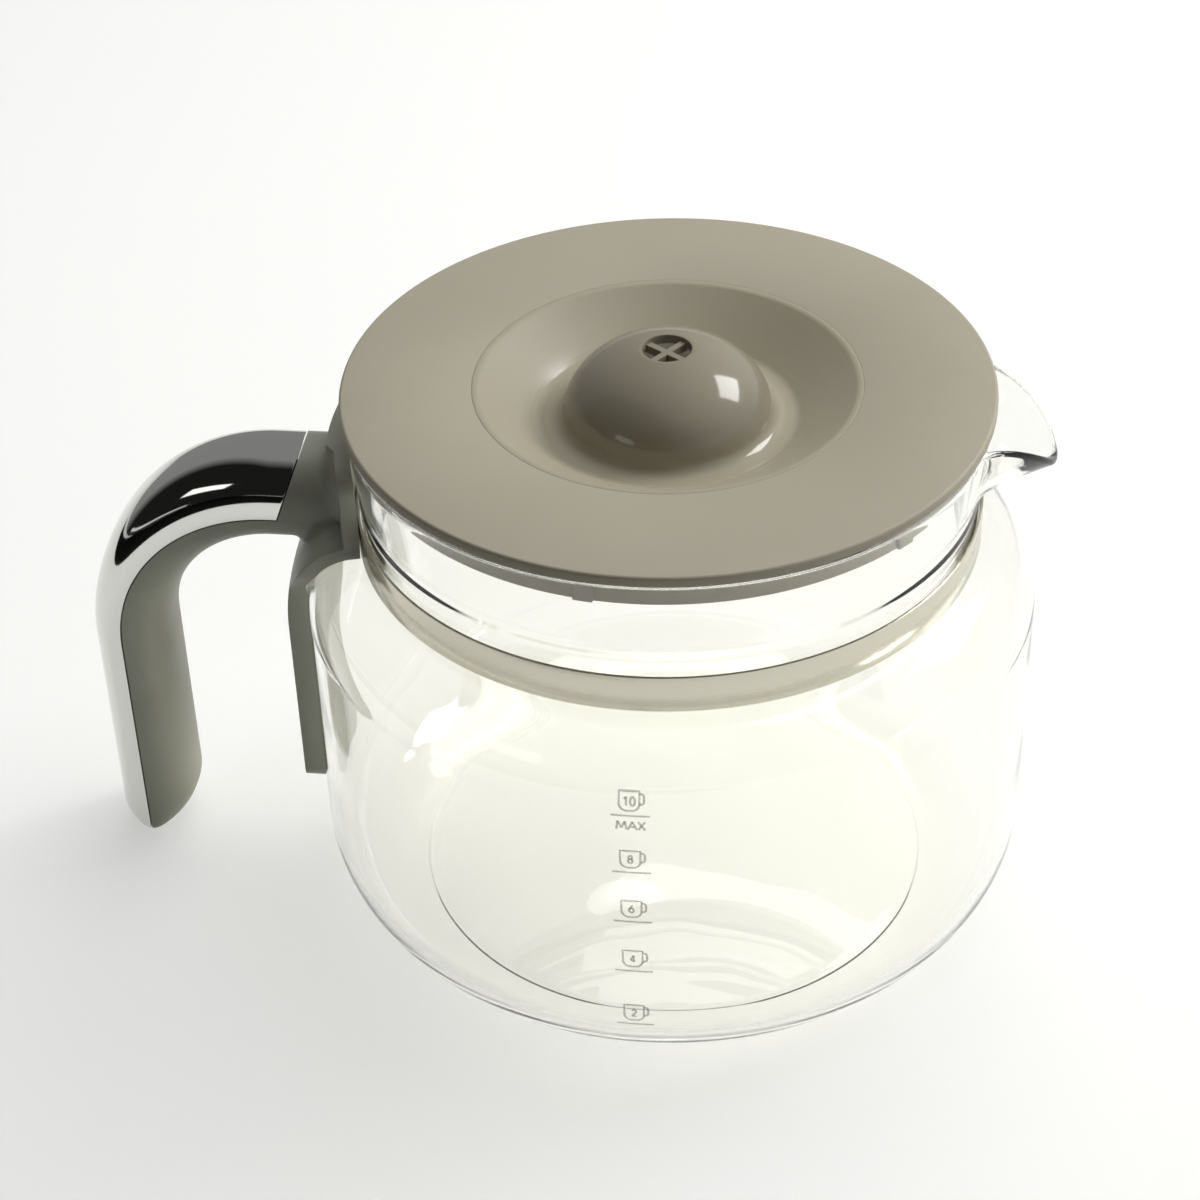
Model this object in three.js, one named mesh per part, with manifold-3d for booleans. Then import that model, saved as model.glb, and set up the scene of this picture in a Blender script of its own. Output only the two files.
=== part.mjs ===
// A glass coffee carafe with a push-in lid and a bright-covered handle.
// Millimetres, +Z up. The origin is the centre of the flat base, the spout points
// along +X and the handle along -X.

import * as THREE from 'three';
import { mergeVertices } from 'three/addons/utils/BufferGeometryUtils.js';
import Module from 'manifold-3d';

// Fits and fineness
const SEAT_GAP = 0.3;
const WELD_DISTANCE = 1e-4;
const FACETS = 64;
const DOME_FACETS = 40;
const FASTENER_FACETS = 20;
const ARC_STEPS = 6;
const SMALL_ARC_STEPS = 4;
const SECTION_STEPS = 16;
const BEND_STEPS = 9;
const GRIP_STEPS = 3;
const END_STEPS = 6;
const PARTING_LAP = 0.2;
const LAP_WIDTH = 0.9;
const FILLET_ROUNDS = 8;

// Glass jug
const BODY_RADIUS = 77.6;
const HEEL_RADIUS = 22;
const NECK_RADIUS = 64.5;
const NECK_FOOT = 91.6;
const SHOULDER_HEIGHT = 16;
const GLASS_WALL = 2.3;
const BASE_THICKNESS = 3;
const BEAD_SIZE = 0.9;
const BEAD_ABOVE_BAND = 3.2;
const RIM_FLARE = 2;
const RIM_HEIGHT = 122.6;
const SPOUT_TILT = THREE.MathUtils.degToRad(61);
const SPOUT_HALF_ANGLE = THREE.MathUtils.degToRad(18);
const SPOUT_BEND_SHARE = 0.45;

// Stainless band, its ears, and the clamp screw and nut
const BAND_HEIGHT = 8.2;
const BAND_THICKNESS = 0.6;
const EAR_GAP = 2;
const EAR_THICKNESS = 0.8;
const EAR_LENGTH = 26;
const CLAMP_SCREW_RADIUS = 2;
const CLAMP_HEAD_RADIUS = 3.5;
const CLAMP_HEAD_HEIGHT = 2;
const CLAMP_END_MARGIN = 5.5;
const NUT_ACROSS_FLATS = 7;
const NUT_SIDES = 6;

// Saddle and heel strip of the handle core
const SADDLE_HALF_WIDTH = 22;
const SADDLE_THICKNESS = 3.2;
const SADDLE_HEIGHT = 20.4;
const SADDLE_CORNER = 4;
const ARCH_HALF_WIDTH = 20;
const ARCH_HEIGHT = 15;
const ARCH_DROP = 4.6;
const STRIP_HALF_WIDTH = 10;
const STRIP_THICKNESS = 5.1;
const STRIP_LEAN = 12;
const STRIP_BOTTOM = 20.5;
const STRIP_CORNER = 3;

// Arm and grip
const HANDLE_WIDTH = 22;
const FINGER_GAP = 27.5;
const BEND_RADIUS = 36;
const ARM_ABOVE_NECK_FOOT = 1.4;
const ARM_CORE_DEPTH = 7;
const GRIP_CORE_DEPTH = 9.5;
const ARM_COVER_DEPTH = 13.3;
const GRIP_COVER_DEPTH = 8;
const GRIP_BOTTOM = 3;
const GRIP_END_ROUND = 1.6;
const COVER_END_ROUND = 6;
const CORE_END_ROUND = 10;
const END_BLUNT = 0.5;
const TAPER_TURN = THREE.MathUtils.degToRad(75);
const ROOT_FILLET = 3;
const COLLAR_LENGTH = 13;
const COLLAR_SLANT = THREE.MathUtils.degToRad(20);
const CORE_WALL = 2.4;
const COVER_WALL = 2;
const HEAD_ROOM = 1.8;
const SPINE_MARGIN = 1;
const COVER_ROUNDNESS = 2.4;
const CORE_ROUNDNESS = 2.5;

// Cover screw, driven from under the arm
const COVER_SCREW_MARGIN = 6;
const COVER_SCREW_RADIUS = 1.5;
const COVER_SCREW_LENGTH = 11;
const COVER_HEAD_RADIUS = 3;
const COVER_HEAD_HEIGHT = 1.8;
const COVER_HEAD_RECESS = 0.8;
const POST_WALL = 2;

// Lid cap
const LID_OVERHANG = 0.5;
const LID_THICKNESS = 2.3;
const LID_EDGE = 0.7;
const SKIRT_DEPTH = 6.6;
const SKIRT_WALL = 2;
const LUG_COUNT = 6;
const LUG_TURN = THREE.MathUtils.degToRad(21);
const LUG_REACH = 0.6;
const LUG_WIDTH = 4;
const LUG_HEIGHT = 4;
const LEDGE_WIDTH = 2.5;
const LEDGE_THICKNESS = 1.5;

// Drip dome
const DISH_RADIUS = 40;
const DISH_DEPTH = 8;
const DISH_WALL = 2;
const DISH_RIM = 2.5;
const DISH_FLAT = 1.6;
const DOME_RADIUS = 21.8;
const DOME_HEIGHT = 16.4;
const DOME_FILLET = 3.2;
const VENT_RADIUS = 5;
const CROSS_TURN = THREE.MathUtils.degToRad(-36);
const CROSS_BAR_WIDTH = 1.9;
const CROSS_BAR_DEPTH = 1.8;
const CROSS_RECESS = 1.3;

// Heights and radii that follow from the sizes above
const bandBottom = NECK_FOOT + SEAT_GAP;
const bandTop = bandBottom + BAND_HEIGHT;
const bandMiddle = (bandBottom + bandTop) / 2;
const bandInner = NECK_RADIUS + SEAT_GAP;
const bandOuter = bandInner + BAND_THICKNESS;
const beadHeight = bandTop + BEAD_ABOVE_BAND + BEAD_SIZE;
const spoutHinge = beadHeight + BEAD_SIZE;
const rimRadius = NECK_RADIUS + RIM_FLARE;
const shoulderReach = BODY_RADIUS - NECK_RADIUS;
const shoulderFoot = NECK_FOOT - SHOULDER_HEIGHT;
const saddleInner = bandOuter + SEAT_GAP;
const saddleOuter = saddleInner + SADDLE_THICKNESS;
const archTop = NECK_FOOT - ARCH_DROP;
const archFoot = archTop - ARCH_HEIGHT;
const saddleTop = NECK_FOOT + SADDLE_HEIGHT;
const stripOffset = SEAT_GAP + STRIP_THICKNESS;
const halfWidth = HANDLE_WIDTH / 2;
const armParting = NECK_FOOT + ARM_ABOVE_NECK_FOOT;
const gripParting = BODY_RADIUS + stripOffset + FINGER_GAP + GRIP_CORE_DEPTH;
const bendCentreR = gripParting - BEND_RADIUS;
const bendCentreZ = armParting - BEND_RADIUS;
const jointR = saddleOuter + COLLAR_LENGTH;
const earEnd = bandOuter + EAR_LENGTH;
const clampR = earEnd - CLAMP_END_MARGIN;
const spineHalf = halfWidth - COVER_WALL - CLAMP_HEAD_HEIGHT - HEAD_ROOM;
const spineEnd = earEnd + SPINE_MARGIN;
const spineTop = bandTop + SPINE_MARGIN;
const coverScrewR = earEnd + COVER_SCREW_MARGIN;
const coverScrewBend = Math.asin(Math.max(0, coverScrewR - bendCentreR) / BEND_RADIUS);
const nutCorner = NUT_ACROSS_FLATS / 2 / Math.cos(Math.PI / NUT_SIDES);
const clampHalf = spineHalf + CLAMP_HEAD_HEIGHT + 2 * SEAT_GAP;
const lidUnderside = RIM_HEIGHT + SEAT_GAP;
const lidTop = lidUnderside + LID_THICKNESS;
const lidRadius = rimRadius + LID_OVERHANG;
const skirtBottom = lidUnderside - SKIRT_DEPTH;
const skirtFlare = (RIM_FLARE * (skirtBottom - spoutHinge)) / (RIM_HEIGHT - spoutHinge);
const skirtOuter = NECK_RADIUS + skirtFlare - GLASS_WALL - SEAT_GAP - LUG_REACH;
const dishRimRadius = DISH_RADIUS - SEAT_GAP;
const dishFloor = lidTop - DISH_DEPTH;

const wasm = await Module();
wasm.setup();

// Closed triangle mesh of a geometry as a solid, with its faces turned outwards.
function solid(geometry) {
  const bare = geometry.clone();
  bare.deleteAttribute('normal');
  bare.deleteAttribute('uv');
  const merged = mergeVertices(bare, WELD_DISTANCE);
  const places = merged.attributes.position.array;
  const corners = [];
  let volume = 0;
  const [a, b, c] = [new THREE.Vector3(), new THREE.Vector3(), new THREE.Vector3()];
  for (let i = 0; i < merged.index.count; i += 3) {
    const [p, q, r] = merged.index.array.slice(i, i + 3);
    if (p === q || q === r || r === p) continue;
    corners.push(p, q, r);
    a.fromArray(places, 3 * p);
    b.fromArray(places, 3 * q);
    c.fromArray(places, 3 * r);
    volume += a.dot(b.cross(c));
  }
  const triVerts = Uint32Array.from(volume < 0 ? corners.reverse() : corners);
  const vertProperties = Float32Array.from(places);
  return new wasm.Manifold(new wasm.Mesh({ numProp: 3, vertProperties, triVerts }));
}

// Named mesh of a solid, with its own finish.
function piece(name, body, finish) {
  const { vertProperties, triVerts } = body.getMesh();
  const geometry = new THREE.BufferGeometry();
  geometry.setAttribute('position', new THREE.BufferAttribute(vertProperties, 3));
  geometry.setIndex(new THREE.BufferAttribute(triVerts, 1));
  geometry.computeVertexNormals();
  const mesh = new THREE.Mesh(geometry, new THREE.MeshStandardMaterial(finish));
  mesh.name = name;
  return mesh;
}

// Points of an elliptic arc in the (radius, height) plane, both ends included.
function arc(centreR, centreZ, reachR, reachZ, from, to, steps) {
  const points = [];
  for (let i = 0; i <= steps; i += 1) {
    const angle = from + ((to - from) * i) / steps;
    points.push([centreR + reachR * Math.cos(angle), centreZ + reachZ * Math.sin(angle)]);
  }
  return points;
}

// Ring or disc turned about +Z from a closed (radius, height) outline.
function turned(outline, facets) {
  const closed = [...outline, outline[0]];
  const points = closed.map(([r, z]) => new THREE.Vector2(r, z));
  return new THREE.LatheGeometry(points, facets).rotateX(Math.PI / 2);
}

// Round bar along +Y, from its low end to its high end.
function bar(radius, low, high) {
  const geometry = new THREE.CylinderGeometry(radius, radius, high - low, FASTENER_FACETS);
  return geometry.translate(0, (low + high) / 2, 0);
}

// Block between two corners.
function block(low, high) {
  const size = high.map((value, i) => value - low[i]);
  const middle = high.map((value, i) => (value + low[i]) / 2);
  return new THREE.BoxGeometry(...size).translate(...middle);
}

// Glass jug

// Outside of the shoulder, moved out by a gap, from its foot to a radius at the neck. A
// lean starts the curve lower down.
function shoulderLine(gap, endRadius, lean) {
  const reachR = shoulderReach + gap;
  const reachZ = SHOULDER_HEIGHT + gap + lean;
  const end = Math.acos((endRadius - NECK_RADIUS) / reachR);
  return arc(NECK_RADIUS, shoulderFoot - lean, reachR, reachZ, 0, end, ARC_STEPS);
}

// Leans the neck wall outwards and down in front, as a pressed pouring spout.
function pressSpout(geometry) {
  const place = geometry.attributes.position;
  const pivotR = NECK_RADIUS - GLASS_WALL / 2;
  for (let i = 0; i < place.count; i += 1) {
    const height = place.getZ(i) - spoutHinge;
    const angle = Math.atan2(place.getY(i), place.getX(i));
    if (height <= 0 || Math.abs(angle) >= SPOUT_HALF_ANGLE) continue;
    const share = height / (RIM_HEIGHT - spoutHinge);
    const ramp = THREE.MathUtils.smoothstep(share, 0, SPOUT_BEND_SHARE);
    const swell = Math.cos(((Math.PI / 2) * angle) / SPOUT_HALF_ANGLE) ** 2;
    const lean = SPOUT_TILT * ramp * swell;
    const out = Math.hypot(place.getX(i), place.getY(i)) - pivotR;
    const radius = pivotR + out * Math.cos(lean) + height * Math.sin(lean);
    const level = spoutHinge + height * Math.cos(lean) - out * Math.sin(lean);
    place.setXYZ(i, radius * Math.cos(angle), radius * Math.sin(angle), level);
  }
  return geometry;
}

function glassJug() {
  const heelCentre = BODY_RADIUS - HEEL_RADIUS;
  const lip = GLASS_WALL / 2;
  const neckMiddle = (spoutHinge + RIM_HEIGHT) / 2;
  const flareMiddle = NECK_RADIUS + RIM_FLARE / 2;
  const bead = arc(NECK_RADIUS, beadHeight, BEAD_SIZE, BEAD_SIZE, -Math.PI / 2, Math.PI / 2,
    SMALL_ARC_STEPS);
  const outline = [
    [0, 0],
    ...arc(heelCentre, HEEL_RADIUS, HEEL_RADIUS, HEEL_RADIUS, -Math.PI / 2, 0,
      ARC_STEPS),
    ...shoulderLine(0, NECK_RADIUS, 0),
    ...bead,
    [(NECK_RADIUS + flareMiddle) / 2, (spoutHinge + neckMiddle) / 2],
    [flareMiddle, neckMiddle],
    [(flareMiddle + rimRadius) / 2, (neckMiddle + RIM_HEIGHT) / 2],
    ...arc(rimRadius - lip, RIM_HEIGHT - lip, lip, lip, 0, Math.PI, SMALL_ARC_STEPS),
    [(flareMiddle + rimRadius) / 2 - GLASS_WALL, (neckMiddle + RIM_HEIGHT) / 2],
    [flareMiddle - GLASS_WALL, neckMiddle],
    [(NECK_RADIUS + flareMiddle) / 2 - GLASS_WALL, (spoutHinge + neckMiddle) / 2],
    [NECK_RADIUS - GLASS_WALL, spoutHinge],
    ...arc(NECK_RADIUS - GLASS_WALL, shoulderFoot, shoulderReach, SHOULDER_HEIGHT - GLASS_WALL,
      Math.PI / 2, 0, ARC_STEPS),
    ...arc(heelCentre, HEEL_RADIUS, HEEL_RADIUS - GLASS_WALL, HEEL_RADIUS - BASE_THICKNESS,
      0, -Math.PI / 2, ARC_STEPS),
    [0, BASE_THICKNESS],
  ];
  return solid(pressSpout(turned(outline, FACETS)));
}

// Stainless band

// Strap outline seen from above, with its ends turned out as two ears along +X.
function bandOutline() {
  const near = EAR_GAP / 2;
  const far = near + EAR_THICKNESS;
  const outerAngle = Math.asin(far / bandOuter);
  const innerAngle = Math.asin(near / bandInner);
  const shape = new THREE.Shape();
  shape.moveTo(earEnd, near);
  shape.lineTo(earEnd, far);
  shape.absarc(0, 0, bandOuter, outerAngle, 2 * Math.PI - outerAngle, false);
  shape.lineTo(earEnd, -far);
  shape.lineTo(earEnd, -near);
  shape.absarc(0, 0, bandInner, 2 * Math.PI - innerAngle, innerAngle, true);
  return shape;
}

function neckBand() {
  const strap = new THREE.ExtrudeGeometry(bandOutline(), {
    depth: BAND_HEIGHT,
    bevelEnabled: false,
    curveSegments: FACETS,
  });
  const hole = bar(CLAMP_SCREW_RADIUS + SEAT_GAP, -halfWidth, halfWidth);
  const strapBody = solid(strap.translate(0, 0, bandBottom).rotateZ(Math.PI));
  return strapBody.subtract(solid(hole.translate(-clampR, 0, bandMiddle)));
}

function clampScrew() {
  const seat = -spineHalf - SEAT_GAP;
  const outline = [
    [0, seat - CLAMP_HEAD_HEIGHT],
    [CLAMP_HEAD_RADIUS, seat - CLAMP_HEAD_HEIGHT],
    [CLAMP_HEAD_RADIUS, seat],
    [CLAMP_SCREW_RADIUS, seat],
    [CLAMP_SCREW_RADIUS, clampHalf],
    [0, clampHalf],
  ];
  const points = outline.map(([r, y]) => new THREE.Vector2(r, y));
  const screw = new THREE.LatheGeometry(points, FASTENER_FACETS);
  return solid(screw.translate(-clampR, 0, bandMiddle));
}

function clampNut() {
  const shape = new THREE.Shape();
  for (let i = 0; i < NUT_SIDES; i += 1) {
    const angle = (2 * Math.PI * i) / NUT_SIDES;
    shape[i ? 'lineTo' : 'moveTo'](nutCorner * Math.cos(angle), nutCorner * Math.sin(angle));
  }
  const thread = new THREE.Path();
  thread.absarc(0, 0, CLAMP_SCREW_RADIUS + SEAT_GAP, 0, 2 * Math.PI, true);
  shape.holes.push(thread);
  const nut = new THREE.ExtrudeGeometry(shape, {
    depth: CLAMP_HEAD_HEIGHT,
    bevelEnabled: false,
    curveSegments: FASTENER_FACETS,
  });
  const seat = spineHalf + SEAT_GAP + CLAMP_HEAD_HEIGHT;
  return solid(nut.rotateX(Math.PI / 2).translate(-clampR, seat, bandMiddle));
}

// Handle, drawn from the side with r along the arm, away from the jug

// What is left of a depth near the grip's end, where it closes in a quarter of an ellipse.
function endShare(toEnd, round) {
  const closed = Math.max(0, round - toEnd) / round;
  return Math.sqrt(1 - closed ** 2);
}

// Stations along the parting line: the arm, the bend and the grip. At each one the
// section's depth on the cover side and on the core side, and its half width. A root
// fillet swells the arm where it grows out of the saddle.
function handleStations(armStart, gripEnd, rootFillet) {
  const stations = [];
  const add = (r, z, bend, swell) => {
    const ease = THREE.MathUtils.smoothstep(bend, 0, TAPER_TURN);
    const toEnd = z - gripEnd + END_BLUNT;
    const coverDepth = THREE.MathUtils.lerp(ARM_COVER_DEPTH, GRIP_COVER_DEPTH, ease);
    const coreDepth = THREE.MathUtils.lerp(ARM_CORE_DEPTH, GRIP_CORE_DEPTH, ease);
    const drawn = GRIP_END_ROUND * (1 - endShare(toEnd, GRIP_END_ROUND));
    stations.push({
      r,
      z,
      bend,
      cover: coverDepth * endShare(toEnd, COVER_END_ROUND) + swell,
      core: coreDepth * endShare(toEnd, CORE_END_ROUND) + swell,
      half: halfWidth - drawn + swell,
    });
  };
  const rootSteps = rootFillet ? SMALL_ARC_STEPS : 0;
  const gripFoot = gripEnd + CORE_END_ROUND;
  add(armStart, armParting, 0, rootFillet);
  for (let i = 1; i <= rootSteps; i += 1) {
    const turn = ((Math.PI / 2) * i) / rootSteps;
    const r = saddleOuter + rootFillet * (1 - Math.cos(turn));
    add(r, armParting, 0, rootFillet * (1 - Math.sin(turn)));
  }
  for (let i = 0; i <= BEND_STEPS; i += 1) {
    const bend = ((Math.PI / 2) * i) / BEND_STEPS;
    const r = bendCentreR + BEND_RADIUS * Math.sin(bend);
    add(r, bendCentreZ + BEND_RADIUS * Math.cos(bend), bend, 0);
  }
  for (let i = 1; i <= GRIP_STEPS; i += 1) {
    const z = THREE.MathUtils.lerp(bendCentreZ, gripFoot, i / GRIP_STEPS);
    add(gripParting, z, Math.PI / 2, 0);
  }
  for (let i = 1; i <= END_STEPS; i += 1) {
    const left = CORE_END_ROUND * (1 - Math.sin(((Math.PI / 2) * i) / END_STEPS));
    add(gripParting, gripEnd + left, Math.PI / 2, 0);
  }
  return stations;
}

// Half section of unit width and depth: a rounded arch that stands on the parting line,
// or laps over it.
function halfSection(roundness, lap) {
  const shape = new THREE.Shape();
  for (let i = 0; i <= SECTION_STEPS; i += 1) {
    const angle = (Math.PI * i) / SECTION_STEPS;
    const across = Math.sign(Math.cos(angle)) * Math.abs(Math.cos(angle)) ** (2 / roundness);
    const up = Math.sin(angle) ** (2 / roundness);
    shape[i ? 'lineTo' : 'moveTo'](across, i % SECTION_STEPS ? up : 0);
  }
  if (lap) {
    shape.lineTo(-LAP_WIDTH, -lap);
    shape.lineTo(LAP_WIDTH, -lap);
  }
  return shape;
}

// Half of the handle on one side of its parting line, swept through the stations and
// thinned by a wall. The side is 1 for the cover, which stands a seat gap off the line, and
// -1 for the core.
function sweptHalf(stations, side, roundness, wall, lap) {
  const last = stations.length - 1;
  const sweep = new THREE.ExtrudeGeometry(halfSection(roundness, lap), {
    depth: last,
    steps: last,
    bevelEnabled: false,
  });
  const place = sweep.attributes.position;
  const stand = side > 0 ? SEAT_GAP : 0;
  for (let i = 0; i < place.count; i += 1) {
    const station = stations[Math.round(place.getZ(i))];
    const depth = (side > 0 ? station.cover : station.core) - wall - stand;
    const lift = side * (stand + depth * place.getY(i));
    const r = station.r + lift * Math.sin(station.bend);
    const z = station.z + lift * Math.cos(station.bend);
    place.setXYZ(i, r, (station.half - wall) * place.getX(i), z);
  }
  return solid(sweep);
}

// Bar along the cover screw's own axis, which is square to the parting line there.
function alongCoverScrew(geometry) {
  const z = bendCentreZ + BEND_RADIUS * Math.cos(coverScrewBend);
  const upright = geometry.rotateX(Math.PI / 2).rotateY(coverScrewBend);
  return solid(upright.translate(coverScrewR, 0, z));
}

// Everything on the jug's side of the slanted joint between collar and cover.
function jugSideOfJoint(gap) {
  const reach = 2 * (ARM_COVER_DEPTH + ARM_CORE_DEPTH);
  const slab = block([-2 * reach, -HANDLE_WIDTH, -reach], [gap, HANDLE_WIDTH, reach]);
  return solid(slab.rotateY(-COLLAR_SLANT).translate(jointR, 0, armParting));
}

const screwEase = THREE.MathUtils.smoothstep(coverScrewBend, 0, TAPER_TURN);
const coreDepthAtScrew = THREE.MathUtils.lerp(ARM_CORE_DEPTH, GRIP_CORE_DEPTH, screwEase);
const coverDepthAtScrew = THREE.MathUtils.lerp(ARM_COVER_DEPTH, GRIP_COVER_DEPTH, screwEase);
const coverHeadSeat = COVER_HEAD_RECESS + COVER_HEAD_HEIGHT - coreDepthAtScrew;

// Saddle, seen along the arm: a plate on the neck whose sides draw in to the heel strip.
function saddleOutline() {
  const cornerY = SADDLE_HALF_WIDTH - SADDLE_CORNER;
  const cornerZ = saddleTop - SADDLE_CORNER;
  const side = [];
  for (let i = 0; i <= ARC_STEPS; i += 1) {
    const z = THREE.MathUtils.lerp(archFoot, archTop, i / ARC_STEPS);
    const ease = THREE.MathUtils.smoothstep(z, archFoot, archTop);
    side.push([THREE.MathUtils.lerp(STRIP_HALF_WIDTH, ARCH_HALF_WIDTH, ease), z]);
  }
  const shape = new THREE.Shape();
  side.forEach(([y, z], i) => shape[i ? 'lineTo' : 'moveTo'](y, z));
  shape.lineTo(SADDLE_HALF_WIDTH, bandMiddle);
  shape.absarc(cornerY, cornerZ, SADDLE_CORNER, 0, Math.PI / 2, false);
  shape.absarc(-cornerY, cornerZ, SADDLE_CORNER, Math.PI / 2, Math.PI, false);
  shape.lineTo(-SADDLE_HALF_WIDTH, bandMiddle);
  side.reverse().forEach(([y, z]) => shape.lineTo(-y, z));
  return shape;
}

// Heel strip, seen along the arm, from its rounded foot up into the arm.
function stripOutline() {
  const cornerY = STRIP_HALF_WIDTH - STRIP_CORNER;
  const cornerZ = STRIP_BOTTOM + STRIP_CORNER;
  const shape = new THREE.Shape();
  shape.moveTo(STRIP_HALF_WIDTH, armParting);
  shape.lineTo(-STRIP_HALF_WIDTH, armParting);
  shape.absarc(-cornerY, cornerZ, STRIP_CORNER, Math.PI, 1.5 * Math.PI, false);
  shape.absarc(cornerY, cornerZ, STRIP_CORNER, -Math.PI / 2, 0, false);
  return shape;
}

// Part of a shell that lies against the jug from the wall to the neck, cut to an outline.
function againstJug(outline, thickness, lean) {
  const shell = turned([
    [BODY_RADIUS + SEAT_GAP, STRIP_BOTTOM],
    ...shoulderLine(SEAT_GAP, saddleInner, 0),
    [saddleInner, saddleTop],
    [saddleInner + thickness, saddleTop],
    ...shoulderLine(SEAT_GAP + thickness, saddleInner + thickness, lean).reverse(),
    [BODY_RADIUS + SEAT_GAP + thickness, STRIP_BOTTOM],
  ], FACETS);
  const shield = new THREE.ExtrudeGeometry(outline, {
    depth: gripParting,
    bevelEnabled: false,
    curveSegments: SMALL_ARC_STEPS,
  });
  return solid(shell).intersect(solid(shield.rotateX(Math.PI / 2).rotateZ(Math.PI / 2)));
}

// What the jug and its band take up where the handle meets them.
function neckRoom() {
  return solid(turned([
    [0, STRIP_BOTTOM],
    [BODY_RADIUS + SEAT_GAP, STRIP_BOTTOM],
    ...shoulderLine(SEAT_GAP, saddleInner, 0),
    [saddleInner, lidTop],
    [0, lidTop],
  ], FACETS));
}

function handleCore() {
  const stations = handleStations(saddleInner, GRIP_BOTTOM, ROOT_FILLET);
  const hollow = handleStations(spineEnd, GRIP_BOTTOM + CORE_WALL, 0);
  const armFloor = armParting - ARM_CORE_DEPTH + CORE_WALL / 2;
  const slotHalf = EAR_GAP / 2 + EAR_THICKNESS + SEAT_GAP;
  const screwHole = bar(CLAMP_SCREW_RADIUS + SEAT_GAP, -halfWidth, halfWidth);
  const clampRoom = bar(Math.max(CLAMP_HEAD_RADIUS, nutCorner) + SEAT_GAP, -clampHalf - SEAT_GAP,
    clampHalf + SEAT_GAP);
  const spine = block([saddleInner, -spineHalf, armFloor], [spineEnd, spineHalf, spineTop]);
  const earSlot = block(
    [NECK_RADIUS, -slotHalf, bandBottom - SEAT_GAP],
    [earEnd + SEAT_GAP, slotHalf, bandTop + SEAT_GAP],
  );
  const boss = bar(COVER_HEAD_RADIUS + POST_WALL, COVER_HEAD_RECESS - coreDepthAtScrew, -SEAT_GAP);
  const headRoom = bar(COVER_HEAD_RADIUS + SEAT_GAP, -2 * coreDepthAtScrew, coverHeadSeat);
  const shankRoom = bar(COVER_SCREW_RADIUS + SEAT_GAP, -coreDepthAtScrew, coreDepthAtScrew);
  const collar = sweptHalf(stations, 1, COVER_ROUNDNESS, 0, PARTING_LAP)
    .intersect(jugSideOfJoint(0));
  return sweptHalf(stations, -1, CORE_ROUNDNESS, 0, 0)
    .subtract(sweptHalf(hollow, -1, CORE_ROUNDNESS, CORE_WALL, PARTING_LAP))
    .subtract(solid(clampRoom.translate(clampR, 0, bandMiddle)))
    .add(collar)
    .add(solid(spine))
    .add(againstJug(saddleOutline(), SADDLE_THICKNESS, 0))
    .add(againstJug(stripOutline(), STRIP_THICKNESS, STRIP_LEAN))
    .add(alongCoverScrew(boss))
    .subtract(neckRoom())
    .subtract(solid(earSlot))
    .subtract(solid(screwHole.translate(clampR, 0, bandMiddle)))
    .subtract(alongCoverScrew(headRoom))
    .subtract(alongCoverScrew(shankRoom));
}

function chromeCover() {
  const stations = handleStations(saddleOuter, GRIP_BOTTOM, 0);
  const hollow = handleStations(saddleOuter - COVER_WALL, GRIP_BOTTOM + COVER_WALL, 0);
  const post = bar(COVER_SCREW_RADIUS + POST_WALL, 0, coverDepthAtScrew - COVER_WALL / 2);
  const pilot = bar(COVER_SCREW_RADIUS + SEAT_GAP, -COVER_SCREW_LENGTH,
    coverHeadSeat + COVER_SCREW_LENGTH + SEAT_GAP);
  return sweptHalf(stations, 1, COVER_ROUNDNESS, 0, 0)
    .subtract(sweptHalf(hollow, 1, COVER_ROUNDNESS, COVER_WALL, PARTING_LAP))
    .subtract(jugSideOfJoint(SEAT_GAP))
    .add(alongCoverScrew(post))
    .subtract(alongCoverScrew(pilot));
}

function coverScrew() {
  const seat = coverHeadSeat - SEAT_GAP;
  const outline = [
    [0, seat - COVER_HEAD_HEIGHT],
    [COVER_HEAD_RADIUS, seat - COVER_HEAD_HEIGHT],
    [COVER_HEAD_RADIUS, seat],
    [COVER_SCREW_RADIUS, seat],
    [COVER_SCREW_RADIUS, seat + COVER_SCREW_LENGTH],
    [0, seat + COVER_SCREW_LENGTH],
  ];
  const points = outline.map(([r, y]) => new THREE.Vector2(r, y));
  return alongCoverScrew(new THREE.LatheGeometry(points, FASTENER_FACETS));
}

// Lid

function lidCap() {
  const ledgeTop = lidTop - DISH_RIM - SEAT_GAP;
  const ledgeInner = DISH_RADIUS - LEDGE_WIDTH;
  const ledgeOuter = DISH_RADIUS + LEDGE_THICKNESS;
  const disc = turned([
    [DISH_RADIUS, lidTop],
    ...arc(lidRadius - LID_EDGE, lidTop - LID_EDGE, LID_EDGE, LID_EDGE, Math.PI / 2, 0,
      SMALL_ARC_STEPS),
    [lidRadius, lidUnderside],
    [skirtOuter, lidUnderside],
    [skirtOuter, skirtBottom],
    [skirtOuter - SKIRT_WALL, skirtBottom],
    [skirtOuter - SKIRT_WALL, lidUnderside],
    [ledgeOuter, lidUnderside],
    [ledgeOuter, ledgeTop - LEDGE_THICKNESS],
    [ledgeInner, ledgeTop - LEDGE_THICKNESS],
    [ledgeInner, ledgeTop],
    [DISH_RADIUS, ledgeTop],
  ], FACETS);
  let cap = solid(disc);
  for (let i = 0; i < LUG_COUNT; i += 1) {
    const lug = block(
      [skirtOuter - SKIRT_WALL / 2, -LUG_WIDTH / 2, skirtBottom],
      [skirtOuter + LUG_REACH, LUG_WIDTH / 2, skirtBottom + LUG_HEIGHT],
    );
    cap = cap.add(solid(lug.rotateZ(LUG_TURN + (2 * Math.PI * i) / LUG_COUNT)));
  }
  return cap;
}

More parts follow.
